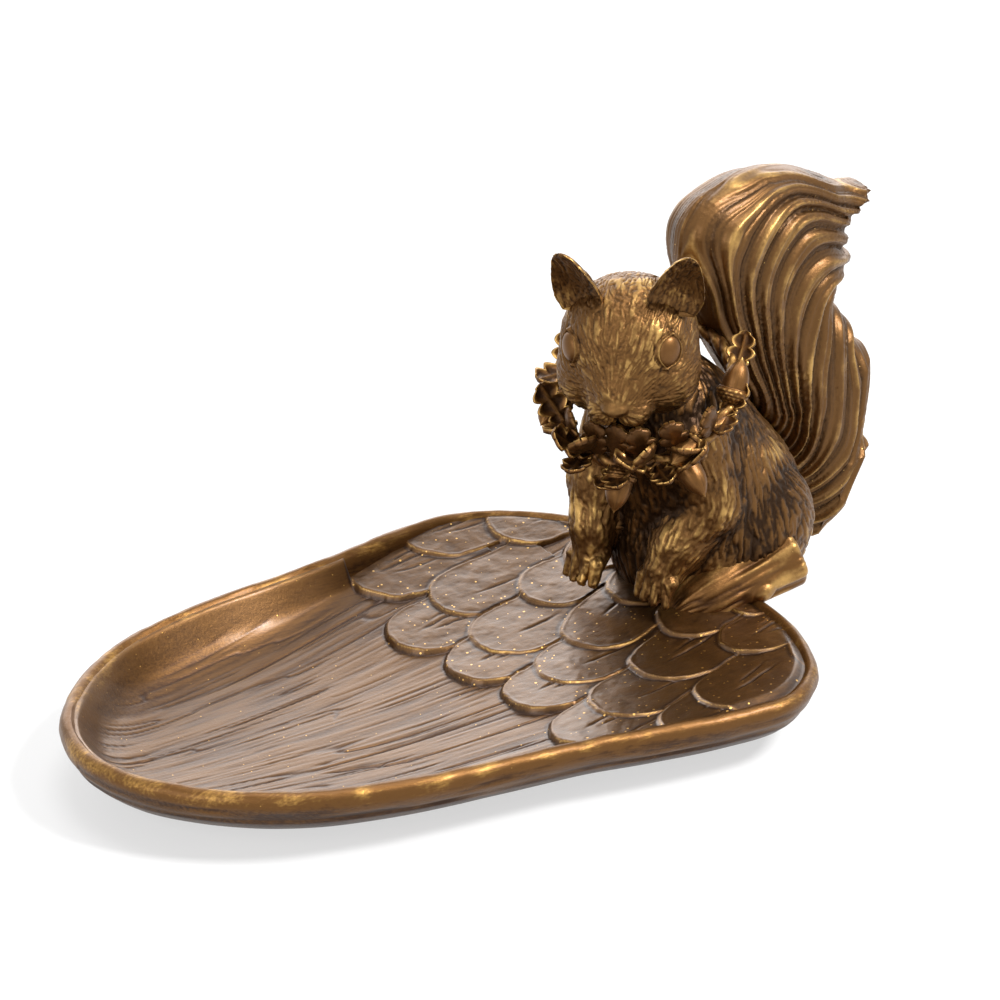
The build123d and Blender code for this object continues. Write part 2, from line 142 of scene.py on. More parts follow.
def limb(points, start, end, startRadius, endRadius):
    start, end = np.array(start, float), np.array(end, float)
    run = end - start
    share = np.clip((points - start) @ run / (run @ run), 0, 1)
    axis = start + share[..., None] * run
    return np.linalg.norm(points - axis, axis=-1) - (startRadius + (endRadius - startRadius) * share)


def melt(first, second, width):
    share = np.clip(0.5 + 0.5 * (second - first) / width, 0, 1)
    return second + (first - second) * share - width * share * (1 - share)


def slope(points, form, reach=0.15):
    here = form(points)
    steps = [form(points + np.eye(3)[axis] * reach) - here for axis in range(3)]
    grade = np.stack(steps, axis=-1) / reach
    size = np.maximum(np.linalg.norm(grade, axis=-1), 0.2)
    return here / size, unit(grade)


def tangent(directions, normals):
    return unit(directions - normals * np.sum(directions * normals, axis=-1, keepdims=True))


def turned(z=0.0, y=0.0, x=0.0):
    about = [Matrix.Rotation(math.radians(angle), 4, axis) for angle, axis in zip((z, y, x), "ZYX")]
    return about[0] @ about[1] @ about[2]


def placed(points, matrix):
    matrix = np.array(matrix)
    return np.asarray(points) @ matrix[:3, :3].T + matrix[:3, 3]


# Mesh helpers

def gridFaces(rows, columns, ring=True, flip=False):
    row, column = np.meshgrid(np.arange(rows - 1), np.arange(columns if ring else columns - 1),
                              indexing="ij")
    following = (column + 1) % columns
    quads = [row * columns + column, row * columns + following, (row + 1) * columns + following,
             (row + 1) * columns + column]
    quads = np.stack([q.ravel() for q in quads], axis=-1)
    return quads[:, ::-1] if flip else quads


def vertexNormals(points, faces):
    corners = [points[faces[:, place]] for place in range(faces.shape[1])]
    across = corners[2] - corners[0]
    quads = len(corners) > 3
    sides = (across, corners[3] - corners[1]) if quads else (corners[1] - corners[0], across)
    faceNormal = np.cross(*sides)
    total = np.zeros_like(points)
    for side in range(len(corners)):
        np.add.at(total, faces[:, side], faceNormal)
    return unit(total)


def newMesh(name, points, faces, layers=None):
    mesh = bpy.data.meshes.new(name)
    faces = faces.tolist() if hasattr(faces, "tolist") else faces
    mesh.from_pydata((np.asarray(points) * mm).tolist(), [], faces)
    mesh.polygons.foreach_set("use_smooth", [True] * len(mesh.polygons))
    for key, values in (layers or {}).items():
        layer = mesh.attributes.new(key, "FLOAT", "POINT")
        layer.data.foreach_set("value", np.asarray(values, np.float32))
    mesh.update()
    return mesh


def newPiece(name, mesh, material):
    piece = bpy.data.objects.new(name, mesh)
    bpy.context.scene.collection.objects.link(piece)
    piece.data.materials.clear()
    piece.data.materials.append(material)
    return piece


def ridged(name, points, faces, ridge):
    return newMesh(name, points, faces, {"ridge": np.clip(ridge, 0, 1)})


# joins points that meet and turns every face outward
def sealed(mesh, gap=0.0):
    whole = bmesh.new()
    whole.from_mesh(mesh)
    if gap:
        bmesh.ops.remove_doubles(whole, verts=whole.verts, dist=gap)
    bmesh.ops.recalc_face_normals(whole, faces=whole.faces)
    whole.to_mesh(mesh)
    whole.free()
    return mesh


# one even skin of small quads over overlapping round parts
def skinOver(parts, fineness):
    joined = bmesh.new()
    for centre, radii in parts:
        size = Matrix.Diagonal((*radii, 1))
        bmesh.ops.create_icosphere(joined, subdivisions=3, radius=1,
                                   matrix=Matrix.Translation(centre) @ size)
    mesh = bpy.data.meshes.new("starter")
    joined.to_mesh(mesh)
    joined.free()
    starter = bpy.data.objects.new("starter", mesh)
    bpy.context.scene.collection.objects.link(starter)
    skin = starter.modifiers.new("skin", "REMESH")
    skin.mode = "VOXEL"
    skin.voxel_size = fineness
    whole = bpy.data.meshes.new_from_object(starter.evaluated_get(bpy.context.evaluated_depsgraph_get()))
    points = np.zeros(len(whole.vertices) * 3)
    whole.vertices.foreach_get("co", points)
    corners = np.zeros(len(whole.loops), np.int64)
    whole.loops.foreach_get("vertex_index", corners)
    bpy.data.objects.remove(starter)
    bpy.data.meshes.remove(mesh)
    bpy.data.meshes.remove(whole)
    return points.reshape(-1, 3), corners.reshape(-1, 4)


def chain(start, end, startRadius, endRadius, count=6):
    start, end = np.array(start, float), np.array(end, float)
    shares = np.linspace(0, 1, count)
    return [(tuple(start + (end - start) * s), (startRadius + (endRadius - startRadius) * s,) * 3)
            for s in shares]


def fitted(points, form, rounds=4):
    for _ in range(rounds):
        gap, normal = slope(points, form)
        points = points - normal * gap[:, None]
    return points, slope(points, form)[1]


def edgeGap(flat, loop):
    # signed distance to a closed outline, more than zero inside
    best = np.full(len(flat), 1e9)
    inside = np.zeros(len(flat), bool)
    for start, end in zip(loop, np.roll(loop, -1, axis=0)):
        run = end - start
        share = np.clip((flat - start) @ run / (run @ run), 0, 1)
        best = np.minimum(best, np.linalg.norm(flat - start - share[:, None] * run, axis=1))
        crosses = (start[1] > flat[:, 1]) != (end[1] > flat[:, 1])
        rise = end[1] - start[1] if end[1] != start[1] else 1e-9
        inside ^= crosses & (flat[:, 0] < start[0] + (flat[:, 1] - start[1]) / rise * run[0])
    return np.where(inside, best, -best)


def splitPieces(points, faces, normals, layers, labels, names):
    owner = labels[faces].max(axis=1)
    for place, name in enumerate(names):
        chosen = faces[owner == place]
        used, corners = np.unique(chosen, return_inverse=True)
        mesh = newMesh(name, points[used], corners.reshape(-1, 4), {k: v[used] for k, v in layers.items()})
        mesh.normals_split_custom_set_from_vertices(normals[used].tolist())
        yield name, mesh


fineness = 1.0  # a coarser skin while working
sides = ((-1, "left"), (1, "right"))
joinGap = 0.01 * mm


# The finish: cold-cast bronze, dark in the hollows and rubbed gold on the ridges

def inputSocket(tree, name, kind, value=None):
    socket = tree.interface.new_socket(name=name, in_out="INPUT", socket_type="NodeSocket" + kind)
    if value is not None:
        socket.default_value = value
    return socket


def outputSocket(tree, name, kind):
    return tree.interface.new_socket(name=name, in_out="OUTPUT", socket_type="NodeSocket" + kind)


class Wiring:
    # a short way to add nodes to one tree and join them up

    def __init__(self, tree):
        self.tree = tree

    def add(self, kind, settings=None, **inputs):
        node = self.tree.nodes.new(kind)
        for key, value in (settings or {}).items():
            setattr(node, key, value)
        for key, value in inputs.items():
            numbered = key[0] == "i" and key[1:].isdigit()
            self.feed(node.inputs[int(key[1:]) if numbered else key], value)
        return node

    def feed(self, socket, value):
        if isinstance(value, bpy.types.NodeSocket):
            self.tree.links.new(value, socket)
        else:
            socket.default_value = value

    def math(self, operation, first, second):
        return self.add("ShaderNodeMath", {"operation": operation}, i0=first, i1=second).outputs[0]

    def plus(self, first, second):
        return self.math("ADD", first, second)

    def minus(self, first, second):
        return self.math("SUBTRACT", first, second)

    def times(self, first, second):
        return self.math("MULTIPLY", first, second)

    def ramp(self, value, low, high, start=0.0, end=1.0):
        inputs = {"i0": value, "i1": low, "i2": high, "i3": start, "i4": end}
        return self.add("ShaderNodeMapRange", {"interpolation_type": "SMOOTHSTEP"}, **inputs).outputs[0]

    def blend(self, share, first, second):
        return self.add("ShaderNodeMix", {"data_type": "RGBA"}, i0=share, i6=first, i7=second).outputs[2]

    def noise(self, place, size, detail=3.0, rough=0.5):
        inputs = {"Vector": place, "Scale": 1 / (size * mm), "Detail": detail, "Roughness": rough}
        return self.add("ShaderNodeTexNoise", {}, **inputs).outputs[0]


# the rubbed patina that every bronze piece shares
def makePatina():
    tree = bpy.data.node_groups.new("rubbedPatina", "ShaderNodeTree")
    inputSocket(tree, "Place", "Vector")
    for name, value in (("Ridge", 0.5), ("Rub", 0.5), ("Speckle", 0.3)):
        inputSocket(tree, name, "Float", value)
    inputSocket(tree, "Hollow Colour", "Color", (0.03, 0.014, 0.006, 1))
    inputSocket(tree, "Body Colour", "Color", (0.2, 0.1, 0.03, 1))
    inputSocket(tree, "Gold Colour", "Color", (0.7, 0.45, 0.16, 1))
    outputSocket(tree, "Colour", "Color")
    for name in ("Roughness", "Metallic", "Height"):
        outputSocket(tree, name, "Float")
    wire = Wiring(tree)
    given = wire.add("NodeGroupInput").outputs
    clouds = wire.noise(given["Place"], 16, 4, 0.6)  # broad patches where the rub was heavier
    grain = wire.noise(given["Place"], 1.1, 4, 0.65)
    grit = wire.noise(given["Place"], 0.35, 2, 0.5)
    lifted = wire.plus(given["Ridge"], wire.times(wire.minus(grain, 0.5), 0.28))
    patch = wire.times(wire.minus(clouds, 0.5), 1.3)
    gold = wire.ramp(wire.plus(wire.plus(lifted, patch), wire.minus(given["Rub"], 0.95)), 0.0, 0.85)
    hollow = wire.ramp(lifted, 0.0, 0.5, 1.0, 0.0)
    colour = wire.blend(hollow, given["Body Colour"], given["Hollow Colour"])
    colour = wire.blend(gold, colour, given["Gold Colour"])
    # small gold specks, one in some of the cells
    cells = wire.add("ShaderNodeTexVoronoi", {"feature": "F1"}, Vector=given["Place"], Scale=1 / (1.6 * mm))
    chance = wire.add("ShaderNodeSeparateColor", {}, i0=cells.outputs["Color"]).outputs[0]
    size = wire.times(wire.minus(chance, wire.minus(1.0, given["Speckle"])), 0.9)
    dot = wire.ramp(wire.minus(size, cells.outputs["Distance"]), 0.0, 0.05)
    colour = wire.blend(wire.times(dot, 0.95), colour, given["Gold Colour"])
    rough = wire.plus(wire.times(gold, -0.1), wire.plus(0.31, wire.times(grain, 0.2)))
    metal = wire.ramp(wire.plus(gold, dot), 0.0, 1.0, 0.82, 1.0)
    height = wire.plus(wire.times(grain, 0.7), wire.times(grit, 0.3))
    wire.add("NodeGroupOutput", {}, i0=colour, i1=rough, i2=metal, i3=height)
    return tree


# long thin marks drawn along a piece's own direction, as scratches and wood grain
def makeGrain():
    tree = bpy.data.node_groups.new("drawnGrain", "ShaderNodeTree")
    inputSocket(tree, "Place", "Vector")
    inputSocket(tree, "Width", "Float", 1.0)
    inputSocket(tree, "Length", "Float", 12.0)
    outputSocket(tree, "Mark", "Float")
    wire = Wiring(tree)
    given = wire.add("NodeGroupInput").outputs
    spot = wire.add("ShaderNodeSeparateXYZ", {}, i0=given["Place"]).outputs
    wide, long = wire.times(given["Width"], mm), wire.times(given["Length"], mm)
    shares = [wire.math("DIVIDE", part, size) for part, size in zip(spot, (long, wide, wide))]
    joined = wire.add("ShaderNodeCombineXYZ", {}, i0=shares[0], i1=shares[1], i2=shares[2]).outputs[0]
    mark = wire.add("ShaderNodeTexNoise", {}, Vector=joined, Scale=1.0, Detail=3.0,
                    Roughness=0.55).outputs[0]
    wire.add("NodeGroupOutput", {}, i0=mark)
    return tree


patina = makePatina()
drawnGrain = makeGrain()

finishes = {
    "tray": {"rub": 0.28, "speckle": 0.22, "hollow": (0.04, 0.015, 0.004), "body": (0.125, 0.056, 0.013),
             "gold": (0.55, 0.31, 0.08), "coat": 0.42, "grain": (0.55, 16.0, 0.16), "bump": 0.06},
    "rim": {"rub": 0.34, "speckle": 0.12, "hollow": (0.04, 0.015, 0.004), "body": (0.13, 0.057, 0.013),
            "gold": (0.66, 0.38, 0.1), "coat": 0.1, "grain": (0.8, 10.0, 0.26), "bump": 0.08},
    "scale": {"rub": 0.26, "speckle": 0.34, "hollow": (0.035, 0.014, 0.004), "body": (0.12, 0.054, 0.013),
              "gold": (0.68, 0.4, 0.11), "coat": 0.38, "grain": (0.8, 9.0, 0.12), "bump": 0.05},
    "bark": {"rub": 0.38, "speckle": 0.12, "hollow": (0.04, 0.015, 0.005), "body": (0.14, 0.062, 0.015),
             "gold": (0.8, 0.49, 0.16), "coat": 0.05, "grain": None, "bump": 0.06},
    "fur": {"rub": 0.4, "speckle": 0.1, "hollow": (0.026, 0.011, 0.003), "body": (0.13, 0.06, 0.016),
            "gold": (0.7, 0.43, 0.14), "coat": 0.0, "grain": None, "bump": 0.05},
    "tail": {"rub": 0.34, "speckle": 0.16, "hollow": (0.026, 0.011, 0.003), "body": (0.125, 0.058, 0.016),
             "gold": (0.72, 0.44, 0.14), "coat": 0.06, "grain": None, "bump": 0.05},
    "garland": {"rub": 0.44, "speckle": 0.08, "hollow": (0.028, 0.011, 0.004), "body": (0.15, 0.066, 0.016),
                "gold": (0.82, 0.5, 0.16), "coat": 0.05, "grain": None, "bump": 0.04},
    "eye": {"rub": 0.44, "speckle": 0.0, "hollow": (0.035, 0.014, 0.005), "body": (0.15, 0.066, 0.016),
            "gold": (0.6, 0.34, 0.1), "coat": 0.1, "grain": None, "bump": 0.01},
}


def freshMaterial(name):
    material = bpy.data.materials.new(name)
    material.use_nodes = True
    return material, Wiring(material.node_tree), material.node_tree.nodes["Principled BSDF"]


def bronze(kind, name):
    finish = finishes[kind]
    material, wire, shader = freshMaterial(name)
    place = wire.add("ShaderNodeTexCoord").outputs["Object"]
    lift = wire.add("ShaderNodeAttribute", {"attribute_name": "ridge"}).outputs["Fac"]
    if finish["grain"]:
        width, length, share = finish["grain"]
        marks = wire.add("ShaderNodeGroup", {"node_tree": drawnGrain}, Place=place, Width=width,
                         Length=length).outputs[0]
        lift = wire.plus(lift, wire.times(wire.minus(marks, 0.5), share * 3))
    group = wire.add("ShaderNodeGroup", {"node_tree": patina}, Place=place, Ridge=lift, Rub=finish["rub"],
                     Speckle=finish["speckle"])
    for socket, key in (("Hollow Colour", "hollow"), ("Body Colour", "body"), ("Gold Colour", "gold")):
        wire.feed(group.inputs[socket], (*finish[key], 1))
    relief = wire.add("ShaderNodeBump", {}, Strength=0.6, Distance=finish["bump"] * mm * 4,
                      Height=group.outputs["Height"])
    results = {"Base Color": group.outputs["Colour"], "Roughness": group.outputs["Roughness"],
               "Metallic": group.outputs["Metallic"], "Normal": relief.outputs[0],
               "Coat Weight": finish["coat"], "Coat Roughness": 0.22}
    for socket, result in results.items():
        wire.feed(shader.inputs[socket], result)
    return material


report("finishes")


# The tray: a shell for the wall and the rolled rim, and one carved field inside it

tray = {
    "tip": -118.0, "length": 241.5, "halfWidth": 88.0,
    "nearEdge": ((0.022, 0.26), (0.075, 0.465), (0.18, 0.69), (0.32, 0.82), (0.46, 0.878), (0.57, 0.915),
                 (0.67, 0.975), (0.77, 1.02), (0.86, 1.02), (0.935, 0.88), (0.982, 0.62)),
    "farEdge": ((0.022, 0.26), (0.075, 0.465), (0.18, 0.69), (0.32, 0.82), (0.46, 0.878), (0.57, 0.925),
                (0.67, 0.985), (0.77, 1.0), (0.86, 0.9), (0.935, 0.68), (0.982, 0.38)),
    # inset and height: from under the foot, up the wall, over the rim and down behind the bowl's edge
    "wall": ((45, 1.25), (27, 1.2), (22, 2.3), (15.5, 4.8), (8.9, 8.6), (4.2, 12.9), (1.2, 17.2),
             (0.25, 20.4), (0.9, 22.6), (2.6, 23.8), (4.4, 23.8), (5.9, 22.5), (7.2, 20.0), (8.6, 16.3),
             (9.6, 13.0)),
    "bowl": ((0, 24.4), (3.5, 24.2), (4.8, 23.8), (6.4, 22.3), (8.6, 18.9), (12.2, 13.4), (18.0, 8.9),
             (25.0, 6.8), (32.0, 6.2), (90.0, 6.2)),
    "capHeight": 9.0, "capStart": 17, "capSlope": 0.114, "capMiddle": 3, "capRound": 1040.0,
    # where the cap swells under the squirrel: height, place and reach
    "mound": (4.0, 101, 27, 31), "around": 800, "fieldAround": 220, "wallRings": 56, "fieldInset": 4.3,
    # middle and radius of the arcs that the marks on the wall and in the bowl follow
    "wallArc": (10, 95), "bowlArc": (-235, 240),
    "stepX": 0.52, "stepY": 0.42,
}
capScales = {
    "half": 15.9, "round": 17.0, "turn": 9.0, "tipLift": 1.7, "rootLift": 0.45, "run": 31.0,
    # tip and middle of each scale, and its size
    "rows": (
        ((21.0, 70, 1.2), (14.6, 31, 1.0), (19.6, 1.5, 1.0), (23.8, -27.5, 1.0), (20.6, -61, 1.04),
         (30.0, -86, 0.8)),
        ((48.0, 79, 1.05), (37.0, 42, 1.0), (34.8, 11, 1.0), (40.4, -20, 1.0), (40.0, -53, 1.06),
         (47.0, -84, 1.0)),
        ((76.0, 67, 1.0), (63.5, 27, 1.0), (59.7, -7.8, 1.02), (64.1, -42, 1.08), (66.0, -78, 1.1)),
        ((99.0, 64, 0.95), (86.0, 33, 1.0), (83.0, 2, 0.95), (85.3, -24, 0.82), (93.5, -48, 0.85),
         (106.0, -70, 0.9)),
        ((112.0, -13, 0.55), (109.0, -28, 0.5)),
    ),
    # sideways start, lean, where it starts and ends, and depth of each vein
    "veins": ((0.4, 0.03, 9, 36, 0.55), (-2.4, -0.09, 13, 34, 0.45), (3.0, 0.12, 15, 36, 0.4)),
}


def trayEdge(count):
    near = [(a * tray["length"] + tray["tip"], -b * tray["halfWidth"]) for a, b in tray["nearEdge"]]
    far = [(a * tray["length"] + tray["tip"], b * tray["halfWidth"]) for a, b in tray["farEdge"]]
    corners = ([(tray["tip"], 0.0)] + near + [(tray["length"] + tray["tip"], -0.12 * tray["halfWidth"])]
               + far[::-1])
    return evenly(corners, count, closed=True)


def bedHeight(x, y):
    high, middle, long, wide = tray["mound"]
    aside = y - tray["capMiddle"]
    mound = high * np.exp(-(((x - middle) / long) ** 2 + (aside / wide) ** 2) ** 2)
    return (tray["capHeight"] + (x - tray["capStart"]) * tray["capSlope"] + aside**2 / tray["capRound"]
            + mound)


def makeShell():
    count = int(tray["around"] / fineness)
    edge = trayEdge(count)
    ahead = unit(np.roll(edge, -1, axis=0) - np.roll(edge, 1, axis=0))
    inward = np.column_stack([-ahead[:, 1], ahead[:, 0]])
    rings = evenly(tray["wall"], int(tray["wallRings"] / fineness))
    walls = [np.column_stack([edge + inward * inset, np.full(count, height)]) for inset, height in rings]
    points = np.array(walls).reshape(-1, 3)
    x, y, z = points.T
    inset = np.repeat(rings[:, 0], count)
    crest = bump(z - 22.6, 2.6)
    sideShare = smoothStep(1.6, 5, z)
    # worn facets along the rim, and bark-like streaks round the outer wall
    wobble = layered(points * (1, 1, 0.4), 13, 41)
    middle, radius = tray["wallArc"]
    swing = np.arctan2(y, x - middle) * radius
    streak = flatNoise(swing / 22, z / 1.5, 51) + 0.7 * flatNoise(swing / 9, z / 0.9, 52)
    lump = noise(points, 6, 43)
    push = 0.3 * streak * sideShare * (1 - crest) + (0.55 * wobble + 0.3 * lump) * crest - 0.4 * sideShare
    outward = -np.tile(inward, (len(rings), 1)) * np.where(inset < 4, 1, -0.4)[:, None]
    points = np.column_stack([x + outward[:, 0] * push, y + outward[:, 1] * push,
                              z - (0.5 * np.abs(wobble) + 0.25 * lump) * crest])
    ridge = 0.3 + 0.42 * crest + 0.2 * streak * sideShare * (1 - crest) + 0.2 * lump * crest
    # painted shade: the wall is darker lower down, towards the foot where it turns in under the tray
    ridge = ridge - 0.25 * smoothStep(17, 8, z)
    points = np.vstack([points, points[:count].mean(axis=0)])
    bottom = np.column_stack([np.roll(np.arange(count), -1), np.arange(count),
                              np.full(count, len(points) - 1)])
    faces = gridFaces(len(rings), count).tolist() + bottom.tolist()
    mesh = ridged("trayShell", points, faces, np.append(ridge, 0.3))
    piece = newPiece("trayShell", mesh, bronze("rim", "rimBronze"))
    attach(piece, "root")
    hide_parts("acorn_dish")


# thin lines of one width where a noise changes sign, all drawn along the tray
def grainLines(x, swing, length, spacing, width, seed):
    def level(shift):
        return flatNoise(x / length, (swing + shift) / spacing, seed)

    here = level(0)
    steep = np.abs(level(0.2) - here) / 0.2
    return bump(here / np.maximum(steep, 0.12), width)


def carveBowl(x, y, inset):
    z = along(tray["bowl"], inset)[:, 0]
    z = -melt(-z, -(bedHeight(x, y) - 0.1), 3.0)
    middle, radius = tray["bowlArc"]
    swing = np.arctan2(y, x - middle) * radius
    floor = smoothStep(9, 15, inset) * smoothStep(-113, -96, x + 0.05 * np.abs(y))
    broken = smoothStep(-0.25, 0.3, flatNoise(x / 34, swing / 7, 21))
    coarse = grainLines(x, swing, 70, 5.6, 0.4, 5) * broken
    fine = grainLines(x, swing, 48, 2.8, 0.32, 9) * smoothStep(-0.1, 0.4, flatNoise(x / 26, swing / 9, 25))
    ripple = layered(np.column_stack([x * 0.22, swing, x * 0]), 8, 31)
    brushed = flatNoise(x / 16, swing / 1.1, 33)
    z = z - floor * (0.5 * coarse + 0.28 * fine) + 0.2 * ripple + 0.07 * brushed * floor
    worn = (bump(z - 20.6, 2.2) * smoothStep(-0.3, 0.5, layered(np.column_stack([x, y, z]), 14, 61))
            + 0.8 * bump(z - 23, 1.2))
    ridge = 0.3 + 0.16 * ripple + 0.14 * brushed * floor + 0.5 * worn
    # dark carved grooves in the floor, each coarse groove with a painted highlight along one side only
    ridge += floor * (0.14 * np.roll(coarse, 2) - 0.5 * coarse - 0.3 * fine)
    return z, ridge


def carveScales(x, y, z, ridge):
    owner = np.zeros(len(x), int)
    spots = np.column_stack([x, y, x * 0])
    wobble = 0.5 * noise(spots, 6, 111) + 0.2 * noise(spots, 2.2, 112)
    grit = layered(spots, 5, 113)
    for row, places in enumerate(capScales["rows"]):
        for place, (tipX, middle, size) in enumerate(places):
            turn = math.radians(capScales["turn"] - middle * 0.07 + 3 * math.sin(middle * 1.7 + row))
            far, aside = x - tipX, y - middle
            u = far * math.cos(turn) + aside * math.sin(turn)
            v = aside * math.cos(turn) - far * math.sin(turn)
            front, half = capScales["round"] * size, capScales["half"] * size
            radial = np.hypot((u - front) / front, v / half)
            gap = np.where(u < front, (1 - radial) * half, half - np.abs(v)) + wobble
            over = smoothStep(-0.3, 0.3, gap) * (u < capScales["run"] * 1.6)
            fall = np.clip(u / capScales["run"], 0, 1)
            top = (bedHeight(x, y) + capScales["tipLift"] * min(1, 0.6 + 0.4 * size) * (1 - fall)
                   + capScales["rootLift"] * fall)
            top += (0.4 * (1 - (v / half) ** 2) - 0.45 * bump(gap, 0.6) + 0.2 * bump(gap - 0.95, 0.5)
                    + 0.22 * grit)
            carved = np.zeros_like(x)
            lit = np.zeros_like(x)
            for side, lean, first, last, deep in capScales["veins"]:
                chance = math.sin(place * 12.9 + row * 7.7 + side * 5.1)
                if chance < -0.55:
                    continue
                line = v - side * size - (lean + 0.03 * chance) * (u - first) + 0.4 * wobble
                run = smoothStep(first, first + 8, u) * smoothStep(last, last - 8, u) * (np.abs(v) < half)
                carved += deep * bump(line, 0.55) * run
                lit += bump(np.abs(line) - 1.1, 0.5) * run
            mark = 0.3 + 0.85 * bump(gap - 0.5, 0.3) - 0.75 * carved + 0.22 * lit + 0.12 * grit
            # painted shadow: a dark band just outside each scale's edge, under its lip
            ridge = ridge - 0.45 * bump(gap + 0.6, 0.5)
            z = z + (top - carved - z) * over
            ridge = ridge + (mark - ridge) * over
            owner[over > 0.3] = min(row, 3) + 1
    return z, ridge, owner


def makeField():
    loop = trayEdge(tray["fieldAround"])
    low, high = loop.min(axis=0), loop.max(axis=0)
    across = np.arange(low[0] + 3, high[0] - 2, tray["stepX"] * fineness)
    aside = np.arange(low[1] + 3, high[1] - 2, tray["stepY"] * fineness)
    x, y = (part.ravel() for part in np.meshgrid(across, aside, indexing="ij"))
    inset = edgeGap(np.column_stack([x, y]), loop)
    z, ridge = carveBowl(x, y, np.maximum(inset, 0))
    z, ridge, owner = carveScales(x, y, z, ridge)
    # the field dips under the rolled rim and ends inside it
    limit = 24.3 - 1.6 * smoothStep(9.0, 5.0, inset)
    z = melt(z, limit, 1.2)
    # painted shade: the scales are darker where they pass under the rolled rim
    ridge = ridge - 0.22 * bump(inset - 6.2, 1.1) * (owner > 0)
    points = np.column_stack([x, y, z])
    faces = gridFaces(len(across), len(aside), ring=False)
    faces = faces[(inset[faces] > tray["fieldInset"]).all(axis=1)]
    normals = vertexNormals(points, faces)
    if normals[:, 2].mean() < 0:
        faces, normals = faces[:, ::-1], -normals
    names = ["bowlFloor"] + [f"capScales{row}" for row in (1, 2, 3, 4)]
    layers = {"ridge": np.clip(ridge, 0, 1)}
    materials = {"bowlFloor": bronze("tray", "bowlBronze"), "capScales": bronze("scale", "scaleBronze")}
    for name, mesh in splitPieces(points, faces, normals, layers, owner, names):
        piece = newPiece(name, mesh, materials[name.rstrip("1234")])
        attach(piece, "root")
        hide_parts("acorn_dish" if name == "bowlFloor" else "cap_scales_row_" + name[-1])


makeShell()
makeField()
report("tray and cap scales")


# The stem: a stub of twig with bark along its side and a worn, cut end

stem = {
    "end": (139.0, -20.0, 33.5), "turn": -8.0, "rise": 17.0, "rows": 110, "columns": 150,
    # distance from the cut end and radius, from the middle of the end back to the root
    "profile": ((0.5, 0.0), (0.5, 4.0), (0.3, 7.0), (0.0, 9.0), (-0.5, 10.2), (-1.6, 11.0), (-4, 11.0),
                (-11, 10.3), (-20, 10.6), (-28, 11.2), (-35, 10.8), (-41, 8.6), (-46, 5.0), (-48, 1.5),
                (-48, 0.0)),
    # degrees round the twig, place along it, size and height
    "knobs": ((-70, -17, 3.6, 1.4), (120, -9, 3.4, 1.4)),
}


def makeStem():
    rows, columns = int(stem["rows"] / fineness), int(stem["columns"] / fineness)
    rings = evenly(stem["profile"], rows)
    far, radius = np.repeat(rings[:, 0], columns), np.repeat(np.maximum(rings[:, 1], 0.0), columns)
    angle = np.tile(np.linspace(0, 2 * math.pi, columns, endpoint=False), rows)
    run = roundAbout(angle, 11, far)
    twist = angle + far * 0.005
    groove = np.abs(noise(roundAbout(twist, 4.2, far / 16), 1, 121)) ** 0.8
    fine = noise(roundAbout(twist, 11, far / 9), 1, 123)
    side = np.maximum(smoothStep(8.5, 10.0, radius), far < -5)
    lift = side * (1.3 * (groove - 0.35) + 0.22 * fine + 0.5 * layered(run, 9, 125) - 0.4)
    mark = 0.16 + side * (0.75 * groove + 0.16 * fine)
    for degrees, place, size, height in stem["knobs"]:
        gap = np.hypot(np.angle(np.exp(1j * (angle - math.radians(degrees)))) * 11, far - place)
        lift += height * bump(gap, size) * side - 0.5 * bump(gap - size * 1.25, 0.8) * side
        mark += 0.35 * bump(gap, size * 0.8) * side
    # growth rings on the cut end, rubbed bright where it is handled
    rings = np.sin(radius * 3.2 + 1.5 * layered(run, 6, 127))
    face = 1 - side
    mark += (face * (0.42 + 0.16 * rings + 0.2 * layered(run * 2, 5, 128))
             + 0.4 * bump(far + 0.8, 1.2) * side)
    # painted highlight: one side of the twig, near its cut end, is made brighter
    mark += 0.42 * bump(far + 8, 8) * smoothStep(0.1, 0.9, np.cos(angle - math.radians(-75))) * side
    spots = roundAbout(angle, radius + lift, far + face * (0.1 * rings - 0.2))
    place = Matrix.Translation(stem["end"]) @ turned(z=stem["turn"]) @ turned(y=90 - stem["rise"])
    mesh = ridged("stemStub", placed(spots, place), gridFaces(rows, columns, flip=True), mark)
    piece = newPiece("stemStub", sealed(mesh, joinGap), bronze("bark", "stemBronze"))
    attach(piece, "root")
    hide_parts("stem")


makeStem()
report("stem")


# The camera's own sight lines place what is read off the photograph

studio = {
    "cameraPlace": (-0.5227, -0.8834, 0.5558), "cameraAim": (0.11707, 0.12859, 0.0), "lens": 129.6,
    "sensor": 36.0,
    "imageSize": 1000, "floorSize": 6.0, "floorGlow": 0.62, "worldLight": 0.34,
    # place, aim, width, height, strength
    "lamps": (
        ("backPanel", (0.9, 1.7, 0.75), (0.05, 0.0, 0.05), 2.6, 1.3, 30.0),
        ("keyPanel", (0.9, -0.9, 1.5), (0.05, 0.0, 0.05), 0.42, 0.42, 44.0),
        ("fillPanel", (-1.5, -0.6, 0.9), (0.05, 0.0, 0.05), 1.0, 1.0, 9.0),
        ("topPanel", (0.1, 0.1, 1.6), (0.05, 0.0, 0.0), 0.8, 0.8, 10.0),
    ),
}


def aimed(place, aim):
    place = Vector(place)
    return Matrix.Translation(place) @ (Vector(aim) - place).to_track_quat("-Z", "Y").to_matrix().to_4x4()


